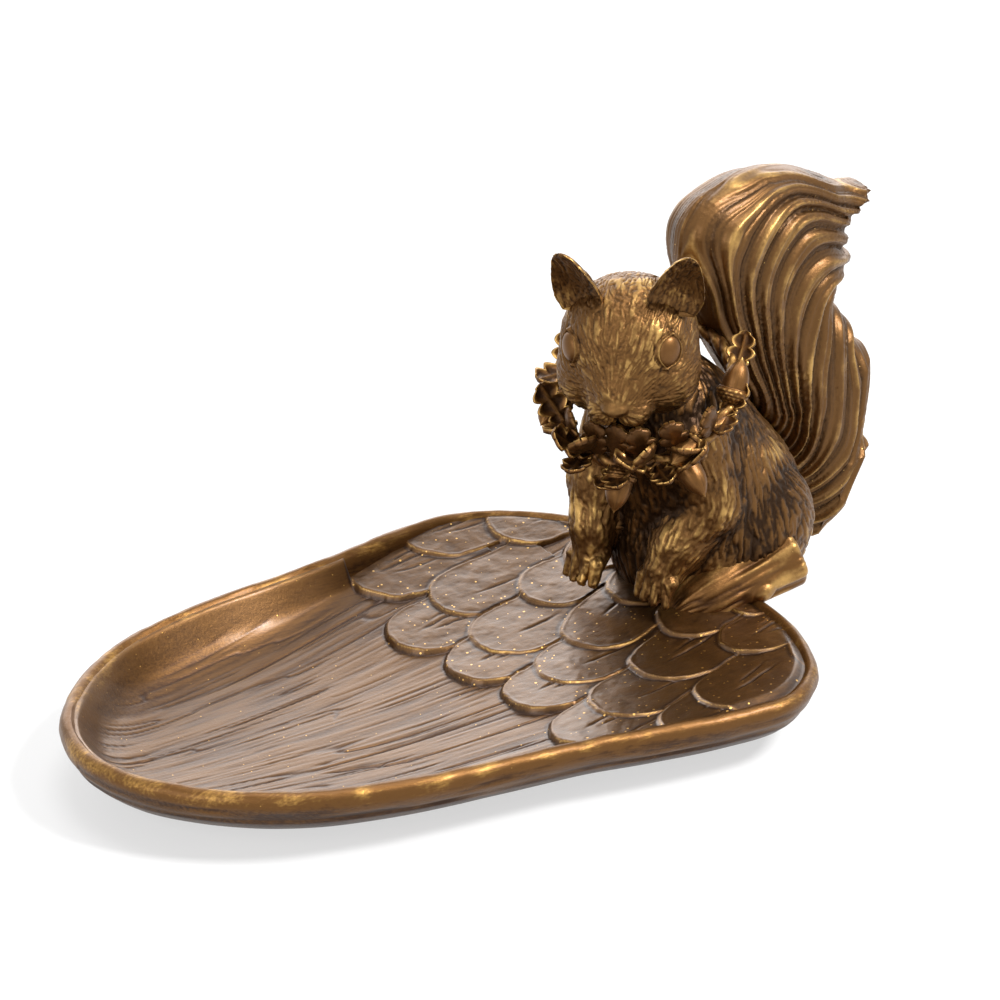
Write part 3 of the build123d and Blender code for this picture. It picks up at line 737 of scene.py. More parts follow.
def sightedOn(pixels, matrix, offset=0.0):
    # where the sight lines of image points meet the XZ plane of a local frame, as local X and Z
    view = np.array(aimed(studio["cameraPlace"], studio["cameraAim"]))
    toLocal = np.array(matrix.inverted())
    reach = studio["lens"] / studio["sensor"] * studio["imageSize"]
    pixels = np.asarray(pixels, float) - studio["imageSize"] / 2
    rays = (np.column_stack([pixels[:, 0] / reach, -pixels[:, 1] / reach, -np.ones(len(pixels))])
            @ view[:3, :3].T)
    start = toLocal[:3, :3] @ (view[:3, 3] / mm) + toLocal[:3, 3]
    rays = rays @ toLocal[:3, :3].T
    spots = start + rays * ((offset - start[1]) / rays[:, 1])[:, None]
    return spots[:, [0, 2]]


# The squirrel faces -X in its own frame, and its paws are above the origin

squirrel = {"x": 88.0, "y": 3.0, "turn": 10.0, "furWidth": 1.2, "furLength": 6.5, "furDepth": 0.42,
            "armWiden": 1.12, "skin": 0.51}
squirrelFrame = Matrix.Translation((squirrel["x"], squirrel["y"], 0)) @ turned(z=squirrel["turn"])

trunk = {
    # height, front, back and half width of each section
    "stations": ((11, 16, 34, 8), (17, 8, 44, 21), (24, 4, 59, 28), (34, 2, 68, 31.2),
                 (48, 2.6, 69.5, 32), (62, 0, 64, 30), (76, -6, 53, 25.8), (89, -8.5, 42, 21.5),
                 (98, -5, 33, 16), (105, 3, 24, 8)),
}
haunch = {"centre": (41.5, 21.5, 42.0), "radii": (20.5, 13.5, 21.5), "blend": 2.2}
arms = {
    # shoulder, elbow, wrist and paw, each with its radius; the side is the sign of Y
    -1: (((13, 16.5, 78), 11.5), ((18.5, 20.0, 57), 10.6), ((7.5, 15.5, 43.5), 8.3),
         ((3.2, 14.0, 35.4), 7.0)),
    1: (((8, 15.0, 78), 11.0), ((2.5, 17.5, 57), 9.8), ((-2.2, 14.8, 43.5), 7.6),
        ((-3.4, 13.4, 35.4), 6.6)),
    "blend": 3.0, "toes": 4, "toeSpread": 3.5, "toeRadius": 2.6, "knuckle": (-4.6, -2.2),
    "toeTip": (-7.6, -8.8), "toeBlend": 0.7,
}


def trunkForm(points):
    front, back, half = along(trunk["stations"], points[..., 2]).T
    middle, reach = (front + back) / 2, (back - front) / 2
    ring = np.sqrt(((points[..., 0] - middle) / reach) ** 2 + (points[..., 1] / half) ** 2)
    low, high = trunk["stations"][0][0], trunk["stations"][-1][0]
    cap = np.maximum(low - points[..., 2], points[..., 2] - high)
    return np.maximum((ring - 1) * np.minimum(reach, half), cap)


def haunchCentre(side):
    x, y, z = haunch["centre"]
    return np.array((x, side * y, z))


def armJoints(side):
    return [(np.array((x, side * y, z), float), radius) for (x, y, z), radius in arms[side]]


# each length of an arm as its start, end and the radius at both
def armLengths(side):
    joints = armJoints(side)
    return [(start, end, first, last) for (start, first), (end, last) in zip(joints, joints[1:])]


def toeJoints(side):
    paw = armJoints(side)[-1][0]
    for toe in range(arms["toes"]):
        aside = (toe - (arms["toes"] - 1) / 2) * arms["toeSpread"]
        shorter = 1 - 0.09 * abs(toe - (arms["toes"] - 1) / 2) ** 2
        root = paw + (0.5, aside * 0.85, -0.5)
        knuckle = root + np.array((arms["knuckle"][0] * shorter, aside * 0.18, arms["knuckle"][1]))
        tip = root + np.array((arms["toeTip"][0] * shorter, aside * 0.34, arms["toeTip"][1]))
        yield root, knuckle, tip


def armForm(points, side):
    total = None
    for length in armLengths(side):
        part = limb(points, *length)
        total = part if total is None else melt(total, part, 3.0)
    size = arms["toeRadius"]
    toes = None
    for root, knuckle, tip in toeJoints(side):
        toe = melt(limb(points, root, knuckle, size, size * 1.05),
                   limb(points, knuckle, tip, size * 1.05, size * 0.62), 0.6)
        toes = toe if toes is None else melt(toes, toe, 0.5)
    return melt(total, toes, arms["toeBlend"])


def bodyParts(points):
    parts = {"squirrel_body": trunkForm(points)}
    for side, word in sides:
        parts[word + "_haunch"] = egg(points, haunchCentre(side), haunch["radii"])
        parts[word + "_foreleg"] = armForm(points, side)
    return parts


def bodyForm(points):
    parts = bodyParts(points)
    whole = parts["squirrel_body"]
    for _, word in sides:
        whole = melt(whole, parts[word + "_haunch"], haunch["blend"])
        whole = melt(whole, parts[word + "_foreleg"], arms["blend"])
    return whole


def furFlow(points, normals, parts):
    # down and outwards on the trunk, round the thigh, and along each arm to its toes
    down = np.column_stack([(points[:, 0] - 25) * 0.012, points[:, 1] * 0.014, np.full(len(points), -1.0)])
    flow = down * np.exp(-np.maximum(parts["squirrel_body"], 0) / 1.2)[:, None]
    for side, word in sides:
        centre = haunchCentre(side) + (-12, 0, 24)
        flow += unit(points - centre) * np.exp(-np.maximum(parts[word + "_haunch"], 0) / 1.2)[:, None] * 1.6
        for start, end, first, last in armLengths(side):
            near = np.exp(-np.maximum(limb(points, start, end, first, last), 0) / 1.5)[:, None]
            flow += (end - start) / np.linalg.norm(end - start) * near * 2.2
        for _, knuckle, tip in toeJoints(side):
            near = np.exp(-np.maximum(limb(points, knuckle, tip, 2.4, 2.0), 0) / 0.8)[:, None]
            flow += (tip - knuckle) / np.linalg.norm(tip - knuckle) * near * 3
    return tangent(unit(flow) + 0.42 * wander(points, 11, 71), normals)


# carves hair-like marks into a skin and says how high each point stands on its hair
def furred(points, normals, flow, width, length, depth, seed, mask=1.0):
    first = np.abs(strokes(points, flow, width, length, seed))
    second = np.abs(strokes(points, flow, width * 1.9, length * 1.5, seed + 7))
    hair = np.clip(first / 1.3, 0, 1) ** 0.75
    tuft = np.clip(second / 1.5, 0, 1) ** 0.8
    height = 0.66 * hair + 0.34 * tuft
    lift = (height - 0.62) * depth * 2 * mask
    return points + normals * np.reshape(lift, (-1, 1)), 0.12 + 0.78 * (height * mask + 0.45 * (1 - mask))


def makeBody():
    parts = [((0.5 * (front + back), 0, height), ((back - front) / 2, half, 13.0))
             for height, front, back, half in trunk["stations"][1:-1]]
    for side in (-1, 1):
        parts.append((haunchCentre(side), haunch["radii"]))
        for length in armLengths(side):
            parts += chain(*length)
        for root, knuckle, tip in toeJoints(side):
            parts += chain(root, knuckle, 2.3, 2.3, 4) + chain(knuckle, tip, 2.3, 1.7, 5)
    points, faces = skinOver(parts, squirrel["skin"] * fineness)
    points, normals = fitted(points, bodyForm)
    near = bodyParts(points)
    flow = furFlow(points, normals, near)
    # one stroke width for the whole skin, a little wider when its first point lies on an arm
    armGap = np.minimum(near["left_foreleg"], near["right_foreleg"])
    width = squirrel["furWidth"] * (squirrel["armWiden"] if armGap[0] < 1 else 1.0)
    points, ridge = furred(points, normals, flow, width, squirrel["furLength"], squirrel["furDepth"], 81)
    # painted shade: dark creases where two forms meet
    gaps = np.sort(np.stack(list(near.values())), axis=0)
    ridge = ridge - 0.55 * bump(gaps[1] - gaps[0], 3.2)
    onArm = armGap < gaps[0] + 1e-6
    # painted shade on the chest between the arms and on the neck under the head
    chestAndNeckShade = (smoothStep(18, 6, points[:, 0]) * smoothStep(22, 12, np.abs(points[:, 1]))
             + smoothStep(70, 84, points[:, 2]))
    # painted highlight: the forelegs are made brighter, and the painted shade goes on the rest of the body
    ridge = ridge + np.where(onArm, 0.12, -0.4 * np.clip(chestAndNeckShade, 0, 1))
    points = placed(points, squirrelFrame)
    normals = vertexNormals(points, faces)
    names = list(near)
    labels = np.argmin(np.stack([near[name] for name in names]), axis=0)
    material = bronze("fur", "furBronze")
    for name, mesh in splitPieces(points, faces, normals, {"ridge": np.clip(ridge, 0, 1)}, labels, names):
        first, second = name.split("_")
        piece = newPiece(first + second.title() + "Fur", mesh, material)
        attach(piece, "root")
        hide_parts(name)


makeBody()
report("body, thighs and forelegs")


# The head has its own frame: it faces -X there too

head = {
    "forward": 1.0, "height": 112.0, "yaw": 34.8, "pitch": 27.3, "roll": 4.0, "skin": 0.33,
    "skull": ((1.5, 0, 2.0), (21.8, 22.4, 20.8)), "cheek": ((-6.5, 10.8, -6.0), (13.6, 12.6, 11.6)),
    "bridge": ((-15.0, 0, -0.5), (12.6, 9.2, 8.6)), "pad": ((-21.6, 4.5, -5.4), (6.6, 6.2, 5.4)),
    "chin": ((-15.5, 0, -10.8), (8.6, 7.4, 5.2)), "nose": ((-26.6, 0, -0.6), (3.2, 4.3, 2.7)),
    "furWidth": 0.86, "furLength": 4.2, "furDepth": 0.3,
    # place beside the middle line, and reach
    "nostril": ((-28.6, 2.3, -1.3), (1.4, 1.1, 0.8)), "mouth": ((-24.4, 0, -9.6), (2.6, 1.7, 1.5)),
}
eye = {"x": -10.4, "y": 16.6, "z": 9.8, "long": 5.3, "wide": 3.9, "bulge": 2.6, "lid": 0.75,
       "tilt": (0.8, 0.0, 0.6),
       "rows": 33, "columns": 48}
ear = {"rootX": 1.5, "rootY": 14.0, "rootZ": 15.5, "tipX": 5.0, "tipY": 20.6, "tipZ": 39.2, "lean": -1.4,
       "half": 9.2, "deep": 5.0, "wall": 1.8,
       "rows": 90, "columns": 120, "furWidth": 0.8, "furLength": 4.0, "furDepth": 0.2,
       "outline": ((0, 0.84), (0.22, 1.0), (0.5, 0.86), (0.75, 0.6), (0.92, 0.34), (0.98, 0.16), (1, 0.02))}
headFrame = (squirrelFrame @ Matrix.Translation((-head["forward"], 0, head["height"]))
             @ turned(z=head["yaw"]) @ turned(y=-head["pitch"]) @ turned(x=-head["roll"]))


def bothSides(shape):
    (x, y, z), radii = head[shape]
    return ((x, y, z), radii), ((x, -y, z), radii)


def headForm(points):
    whole = egg(points, *head["skull"])
    for centre, radii in bothSides("cheek"):
        whole = melt(whole, egg(points, centre, radii), 5.0)
    whole = melt(whole, egg(points, *head["bridge"]), 6.0)
    whole = melt(whole, egg(points, *head["chin"]), 1.6)
    first, second = (egg(points, centre, radii) for centre, radii in bothSides("pad"))
    whole = melt(whole, melt(first, second, 0.9), 2.2)
    return melt(whole, egg(points, *head["nose"]), 1.0)


def eyeFrame(side):
    spot = np.array((eye["x"], side * eye["y"], eye["z"]))
    outward = unit(spot - np.array(head["skull"][0]))
    forward = unit(np.array(eye["tilt"]) - outward * (outward @ np.array(eye["tilt"])))
    across = np.cross(outward, forward)
    return spot, outward, forward, across


def eyeGap(points, side):
    # distance outside the almond opening, less than zero inside it
    spot, outward, forward, across = eyeFrame(side)
    ahead, aside = (points - spot) @ forward, (points - spot) @ across
    opening = eye["wide"] * (1 - np.clip(np.abs(ahead) / eye["long"], 0, 1) ** 2.5)
    gap = np.maximum(np.abs(aside) - opening, np.abs(ahead) - eye["long"])
    return np.where((points - spot) @ outward > -6, gap, 99.0)


def makeHead():
    shapes = ([head[key] for key in ("skull", "bridge", "chin", "nose")] + list(bothSides("cheek"))
              + list(bothSides("pad")))
    points, faces = skinOver(shapes, head["skin"] * fineness)
    points, normals = fitted(points, headForm)
    mask = np.ones(len(points))
    ridge = np.zeros(len(points))
    lift = np.zeros(len(points))
    for side in (-1, 1):
        gap = eyeGap(points, side)
        mask *= smoothStep(0.3, 2.0, gap)
        lift += (eye["lid"] * bump(gap - 0.35, 0.55) - 1.9 * smoothStep(0.2, -0.6, gap)
                 - 0.35 * bump(gap - 1.6, 0.7))
        ridge += (0.16 * bump(gap - 0.35, 0.5) - 0.4 * smoothStep(0.1, -0.3, gap)
                  - 0.25 * bump(gap - 1.5, 0.6))
        (x, y, z), reach = head["nostril"]
        hole = np.linalg.norm((points - np.array((x, side * y, z))) / reach, axis=1)
        lift -= 0.9 * bump(hole, 1.0)
        ridge -= 0.5 * bump(hole, 1.1)
    nose = egg(points, *head["nose"])
    mask *= smoothStep(0.0, 1.6, nose)
    x, y, z = points.T
    front = smoothStep(-19, -22, x)
    split = bump(y, 0.5) * smoothStep(-1.0, -2.4, z) * smoothStep(-12.5, -9, z) * front
    middle, reach = head["mouth"]
    mouth = np.linalg.norm((points - np.array(middle)) / reach, axis=1)
    lift -= 0.8 * split + 1.6 * bump(mouth, 0.9)
    ridge -= 0.55 * split + 0.8 * bump(mouth, 1.1)
    parts = np.stack([egg(points, *head["chin"])]
                     + [egg(points, centre, radii) for centre, radii in bothSides("pad")])
    lip = bump(parts[0] - np.minimum(parts[1], parts[2]), 0.55) * smoothStep(-13, -16, x)
    lift -= 0.5 * lip
    ridge -= 0.5 * lip
    tip = np.array(head["nose"][0])
    flow = unit(points - tip)
    flow = tangent(flow + 0.22 * wander(points, 8, 91), normals)
    points, hair = furred(points, normals, flow, head["furWidth"], head["furLength"], head["furDepth"], 95,
                          mask)
    points = points + normals * lift[:, None]
    mesh = ridged("headFur", placed(points, headFrame), faces, hair + ridge + 0.1 * (1 - mask))
    piece = newPiece("headFur", mesh, bronze("fur", "headBronze"))
    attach(piece, "root")
    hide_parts("head", "nose")


def makeEye(side, word):
    spot, outward, forward, across = eyeFrame(side)
    rows, columns = eye["rows"], eye["columns"]
    tall = np.linspace(0, math.pi, rows)[:, None]
    radial = np.linspace(0, 2 * math.pi, columns, endpoint=False)[None]
    ball = np.stack([np.sin(tall) * np.cos(radial), np.sin(tall) * np.sin(radial),
                     np.cos(tall) + 0 * radial], axis=-1)
    ball = ball.reshape(-1, 3) * (eye["long"] * 0.98, eye["wide"] * 1.12, eye["bulge"])
    points = spot - outward * 1.0 + ball[:, :1] * forward + ball[:, 1:2] * across + ball[:, 2:] * outward
    mesh = ridged(word + "EyeBall", placed(points, headFrame), gridFaces(rows, columns),
                  np.full(len(points), 0.4))
    piece = newPiece(word + "EyeBall", sealed(mesh, joinGap / 10), bronze("eye", word + "EyeBronze"))
    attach(piece, "root")
    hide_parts(word + "_eye")


def makeEar(side, word):
    lean = ear["lean"]
    root = np.array((ear["rootX"], side * ear["rootY"] + lean, ear["rootZ"]))
    tip = np.array((ear["tipX"], side * ear["tipY"] + lean * 2.4, ear["tipZ"]))
    upward = unit(tip - root)
    facing = np.array((-1.0, side * 0.35, 0.15))
    facing = unit(facing - upward * (facing @ upward))
    across = np.cross(upward, facing)
    rows, columns = int(ear["rows"] / fineness), int(ear["columns"] / fineness)
    share = np.linspace(0, 1, rows)
    width = ear["half"] * along(ear["outline"], share)[:, 0]
    angle = np.linspace(0, 2 * math.pi, columns, endpoint=False)
    points, inner = [], []
    for s, half in zip(share, width):
        deep = ear["deep"] * half / ear["half"]
        x = np.cos(angle) * half
        back = np.sin(angle) > 0
        bow = np.sqrt(np.clip(1 - (x / half) ** 2, 0, 1))
        wall = ear["wall"] * min(1.0, half / 2.2)
        y = np.where(back, -deep * bow, -(deep - wall) * bow * smoothStep(1.0, 0.93, s))
        bend = 1.4 * math.sin(s * math.pi)  # the ear curls forward a little towards its tip
        spot = root + upward * (s * np.linalg.norm(tip - root)) + facing * (2.0 - bend * 0.5)
        points.append(spot + x[:, None] * across + y[:, None] * facing)
        inner.append(np.where(back, 0.0, 1.0))
    points = np.array(points).reshape(-1, 3)
    inner = np.array(inner).ravel()
    faces = gridFaces(rows, columns)
    normals = vertexNormals(points, faces)
    centre = (root + tip) / 2
    if np.mean(np.sum((points - centre) * normals, axis=1) * (1 - inner)) < 0:
        faces, normals = faces[:, ::-1], -normals
    flow = tangent(upward + 0.25 * wander(points, 6, 61), normals)
    points, ridge = furred(points, normals, flow, ear["furWidth"], ear["furLength"], ear["furDepth"], 67)
    ridge = ridge - 0.15 * inner + 0.4 * np.tile(smoothStep(0.94, 0.99, np.abs(np.cos(angle))), rows)
    cap = [list(range(columns))[::-1], list(range((rows - 1) * columns, rows * columns))]
    mesh = ridged(word + "EarCup", placed(points, headFrame), faces.tolist() + cap, ridge)
    piece = newPiece(word + "EarCup", mesh, bronze("fur", word + "EarBronze"))
    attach(piece, "root")
    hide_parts(word + "_ear")


makeHead()
for side, word in sides:
    makeEye(side, word)
    makeEar(side, word)
report("head, eyes and ears")


# The tail: a pillow whose side view and locks are read off the photograph

tail = {
    "halfWidth": 17.0, "roundIn": 21.0, "skin": 0.62, "lockDepth": 3.0, "stripDepth": 0.9,
    "edgePoints": 170, "ballStep": 4.0, "fieldScale": 50, "midPlane": -9.0,
    # image points round the silhouette, from the tip over the crown, down the front and up the back
    "edge": ((859, 181), (848, 179), (833, 179), (817, 172), (794, 166), (770, 165), (748, 169),
             (729, 178), (714, 188), (700, 199), (690, 213), (683, 228), (680, 245), (680, 262),
             (686, 286), (700, 320), (715, 352), (735, 385), (755, 420), (772, 455), (785, 495),
             (793, 530), (797, 535), (809, 522), (822, 508), (829, 498), (832, 489), (836, 478),
             (843, 462), (850, 446), (855, 436), (854, 428), (848, 426), (850, 414), (853, 393),
             (856, 368), (856, 350), (854, 337), (846, 333), (842, 331), (838, 315), (826, 299),
             (819, 290), (825, 275), (830, 264), (838, 258), (841, 251), (832, 237), (834, 226),
             (834, 218), (841, 214), (843, 208), (851, 203), (855, 192), (860, 184)),
    # image points along each lock, from its root to its tip; the first lock is the front edge
    "locks": (
        ((735, 375), (716, 350), (694, 300), (679, 262), (685, 237), (694, 217), (708, 198), (730, 176),
         (755, 166), (790, 163), (830, 174), (864, 181)),
        ((760, 395), (735, 350), (712, 300), (700, 262), (703, 235), (716, 208), (740, 188), (770, 176),
         (805, 176), (838, 188), (860, 187)),
        ((771, 405), (750, 360), (730, 310), (722, 270), (728, 240), (742, 215), (765, 196), (795, 188),
         (822, 194), (850, 200)),
        ((780, 415), (763, 370), (747, 320), (740, 280), (748, 248), (765, 222), (790, 205), (815, 205),
         (840, 213)),
        ((786, 425), (774, 385), (762, 340), (756, 300), (764, 265), (782, 240), (806, 224), (834, 227)),
        ((790, 440), (783, 400), (776, 360), (775, 320), (784, 285), (800, 262), (820, 249), (840, 252)),
        ((794, 455), (793, 420), (792, 380), (793, 345), (802, 310), (813, 285), (824, 274)),
        ((797, 475), (804, 440), (810, 400), (812, 365), (818, 335), (824, 310), (822, 297)),
        ((799, 495), (815, 460), (827, 425), (833, 390), (838, 360), (842, 332)),
        ((800, 510), (820, 485), (838, 455), (846, 430), (849, 400), (853, 370), (855, 340)),
        ((801, 530), (815, 518), (832, 496), (845, 462), (856, 432)),
    ),
    "strands": 1.2,
}


def lockField():
    # a smooth value that stays the same along each lock and grows from one to the next
    spots, values = [], []
    for place, line in enumerate(tail["locks"]):
        spots += list(sightedOn(line, squirrelFrame, tail["midPlane"]))
        values += [place] * len(line)
    spots, values = np.array(spots), np.array(values, float)
    scale = tail["fieldScale"]

    def pull(first, second):
        gap = np.linalg.norm(first[:, None] - second[None], axis=-1) / scale
        return np.where(gap > 0, gap**2 * np.log(np.maximum(gap, 1e-9)), 0)

    count = len(spots)
    level = np.column_stack([np.ones(count), spots / scale])
    system = np.zeros((count + 3, count + 3))
    system[:count, :count] = pull(spots, spots) + np.eye(count) * 0.01
    system[:count, count:], system[count:, :count] = level, level.T
    weights = np.linalg.solve(system, np.append(values, np.zeros(3)))

    def value(flat):
        total = np.zeros(len(flat))
        for part in np.array_split(np.arange(len(flat)), max(1, len(flat) // 20000)):
            here = flat[part]
            total[part] = (pull(here, spots) @ weights[:count]
                           + np.column_stack([np.ones(len(here)), here / scale]) @ weights[count:])
        return total

    return value


def makeTail():
    loop = evenly(sightedOn(tail["edge"], squirrelFrame), tail["edgePoints"], closed=True)
    low, high = loop.min(axis=0) - 3, loop.max(axis=0) + 3
    # balls along the inside give the first skin
    grid = np.stack(np.meshgrid(np.arange(low[0], high[0], tail["ballStep"]),
                                np.arange(low[1], high[1], tail["ballStep"])), axis=-1).reshape(-1, 2)
    room = edgeGap(grid, loop)
    parts = []
    for spot, gap in zip(grid, room):
        if gap > 1.2:
            thick = pillow(gap)
            parts.append(((spot[0], 0, spot[1]),
                          (min(gap, 9) + 1.0, max(thick, 1.5) + 0.6, min(gap, 9) + 1.0)))
    points, faces = skinOver(parts, tail["skin"] * fineness)

    def form(spots):
        gap = edgeGap(spots[:, [0, 2]], loop)
        return (np.sqrt((spots[:, 1] / tail["halfWidth"]) ** 2
                        + np.clip(1 - gap / tail["roundIn"], 0, None) ** 2) - 1) * tail["halfWidth"]

    points, normals = fitted(points, form, 3)
    value = lockField()
    side = np.sign(points[:, 1])
    flat = points[:, [0, 2]]
    stream = value(flat)
    warp = 0.22 * noise(np.column_stack([flat / (22, 30), side * 3]), 1, 101)
    edgeward = smoothStep(-6, 6, points[:, 1]) * 0.5
    t = (stream + warp + edgeward) * tail["strands"] + 0.35
    index, part = np.floor(t), t - np.floor(t)
    chance = cellValue(np.stack([index, side, index * 0], axis=-1).astype(np.int64), 103)
    crest = 0.62 + 0.16 * chance
    lock = np.where(part < crest, smoothStep(0, 1, part / crest),
                    smoothStep(0, 1, (1 - part) / (1 - crest)))
    strip = np.abs(np.sin(math.pi * (t * 2.6 + 0.9 * chance + 1.4 * warp)))
    fine = np.abs(np.sin(math.pi * (t * 7.3 + warp * 6)))
    room = smoothStep(0.0, 7.0, edgeGap(flat, loop)) * 0.75 + 0.25
    lift = (tail["lockDepth"] * (0.8 + 0.35 * chance) * (lock - 0.75) * room
            + tail["stripDepth"] * (strip - 0.8) * room * 0.9 + 0.24 * (fine - 0.7))
    lift = np.minimum(lift, 0.6)
    points = points + normals * lift[:, None]
    ridge = 0.04 + 0.48 * lock + 0.26 * strip * (0.4 + 0.6 * lock) + 0.14 * fine
    mesh = ridged("tailLocks", placed(points, squirrelFrame), faces, ridge)
    piece = newPiece("tailLocks", mesh, bronze("tail", "tailBronze"))
    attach(piece, "root")
    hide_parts("tail")


def pillow(gap):
    return tail["halfWidth"] * math.sqrt(max(0.0, 1 - max(0.0, 1 - gap / tail["roundIn"]) ** 2))


makeTail()
report("tail")


# The garland: a vine ring with oak leaves and acorns set out on it by a node tree

garland = {
    "radius": 28.5, "twig": 2.3, "height": 92.8, "back": 8.0, "yaw": 20.0, "tilt": 33.0,
    "leafLength": 17.6, "leafHalf": 5.9, "leafThick": 1.4, "sink": 0.4, "acornReach": 5.2,
    "acornSize": 0.84,
    # share of the length and of the half width, with rounded lobes cut into it
    "leafOutline": ((0, 0.16), (0.1, 0.4), (0.3, 0.92), (0.55, 1.0), (0.78, 0.84), (0.92, 0.62),
                    (0.98, 0.3), (1, 0.06)),
    "lobes": 3.3, "lobeDepth": 0.5, "leafRows": 80, "leafColumns": 13,
    "formRows": 46, "formColumns": 56, "twigRows": 420, "twigColumns": 28, "vineTurns": 9,
    # place round the ring, turn from straight out, lean from the ring's plane, size
    "leaves": ((-122, -66, 10, 1.0), (-102, 78, 20, 1.0), (-86, -78, 15, 1.0), (-58, 80, 30, 1.0),
               (-46, -76, 45, 1.0), (-26, 66, 52, 1.0), (-16, -52, 48, 1.0), (14, 54, 50, 1.0),
               (28, -64, 40, 1.0), (38, 48, 28, 1.0), (58, -46, 40, 1.0), (80, 84, 10, 0.8),
               (92, -80, 10, 0.8), (116, 66, 10, 0.85), (-34, -14, 88, 0.85), (-12, 10, 96, 0.85),
               (4, -12, 98, 0.9), (22, 14, 95, 0.85), (44, -6, 88, 0.85), (66, 16, 70, 0.85),
               (-2, 36, 12, 0.85), (10, -34, 6, 0.8), (-24, 30, 20, 0.85), (26, 24, 10, 0.75)),
    # place round the ring, turn along the twig, lean down from it
    "acorns": ((5, 0, 24), (43, 8, 26), (60, -72, -24), (92, 84, -30), (-76, 72, -12)),
    "nut": ((0.5, 0.0), (0.5, 3.0), (0.2, 4.9), (-2.5, 5.1), (-6.0, 4.7), (-9.2, 3.4), (-11.6, 1.5),
            (-12.4, 0.7), (-13.5, 0.0)),
    "cup": ((-0.9, 4.6), (-0.9, 5.6), (0.2, 6.3), (1.8, 6.1), (3.8, 4.8), (5.2, 2.7), (5.7, 1.6),
            (7.6, 1.25), (7.9, 0.0)),
}
garlandFrame = (squirrelFrame @ Matrix.Translation((garland["back"], 0, garland["height"]))
                @ turned(z=garland["yaw"]) @ turned(y=-garland["tilt"]))


def onRing(angle):
    return garlandFrame @ turned(z=180 + angle) @ Matrix.Translation((garland["radius"], 0, 0))


def leafMesh():
    rows, half = garland["leafRows"], garland["leafColumns"]
    long, wide = garland["leafLength"], garland["leafHalf"]
    share = np.linspace(0, 1, rows)[:, None]
    notch = ((1 - np.abs(np.sin(math.pi * (share * garland["lobes"] - 0.12))) ** 0.7)[:, 0]
             * smoothStep(1.0, 0.9, share[:, 0]))
    lobe = (along(garland["leafOutline"], share[:, 0])[:, 0] * (1 - garland["lobeDepth"] * notch))[:, None]
    t = np.concatenate([np.linspace(-1, 1, half), np.linspace(1, -1, half)])[None]
    under = np.arange(2 * half)[None] >= half
    reach = np.abs(t)
    y = t * lobe * wide
    x = share * long + 1.7 * reach**2 * lobe * (1 - share)
    curl = 1.25 * long
    z = curl - np.sqrt(curl**2 - (x - 0.4 * long) ** 2) + 1.1 * reach**2 * lobe - 0.35 * reach
    rib = bump(y, 0.55) * smoothStep(1.0, 0.85, share)
    side = (np.abs(np.sin(math.pi * (share - 0.1 * reach * lobe) / 0.3 + 1.1)) ** 6
            * smoothStep(0.15, 0.4, reach))
    rim = smoothStep(0.6, 0.86, reach)
    z = np.where(under, z - garland["leafThick"] * (1 - 0.5 * reach**4),
                 z + 0.5 * rib + 0.25 * side * (1 - rim) + 0.7 * rim)
    ridge = np.where(under, 0.25, 0.12 + 0.5 * rib + 0.25 * side + 0.75 * rim)
    points = np.stack([x + 0 * t, y, z], axis=-1).reshape(-1, 3)
    points[:, 2] += 0.22 * noise(points, 3, 131)
    caps = [list(range(2 * half))[::-1], list(range((rows - 1) * 2 * half, rows * 2 * half))]
    return ridged("leafForm", points, gridFaces(rows, 2 * half).tolist() + caps, ridge.ravel())


def turnedMesh(name, profile, relief):
    # a form turned about Z, with a relief that depends on the angle and the run along the profile
    rows, columns = garland["formRows"], garland["formColumns"]
    rings = evenly(profile, rows)
    angle = np.tile(np.linspace(0, 2 * math.pi, columns, endpoint=False), rows)
    height, radius = np.repeat(rings[:, 0], columns), np.repeat(np.maximum(rings[:, 1], 0.02), columns)
    lift, ridge = relief(angle, height, radius)
    points = roundAbout(angle, radius + lift, height)
    caps = [list(range(columns)), list(range((rows - 1) * columns, rows * columns))[::-1]]
    return sealed(ridged(name, points, gridFaces(rows, columns).tolist() + caps, ridge))


def nutRelief(angle, height, radius):
    streak = noise(roundAbout(angle, 9, height / 7), 1, 141)
    share = smoothStep(0.5, 3.0, radius)
    return 0.09 * streak * share, 0.42 + 0.2 * streak + 0.3 * bump(height + 13, 1.6)


def cupRelief(angle, height, radius):
    row = height / 1.35
    brick = (np.abs(np.sin(angle * 8 + np.floor(row) * math.pi / 2))
             * np.sin(math.pi * (row - np.floor(row))))
    share = smoothStep(1.7, 3.0, radius) * smoothStep(-0.7, 0.3, height)
    return 0.5 * (brick - 0.4) * share, 0.2 + 0.65 * brick * share + 0.3 * bump(height, 0.6)


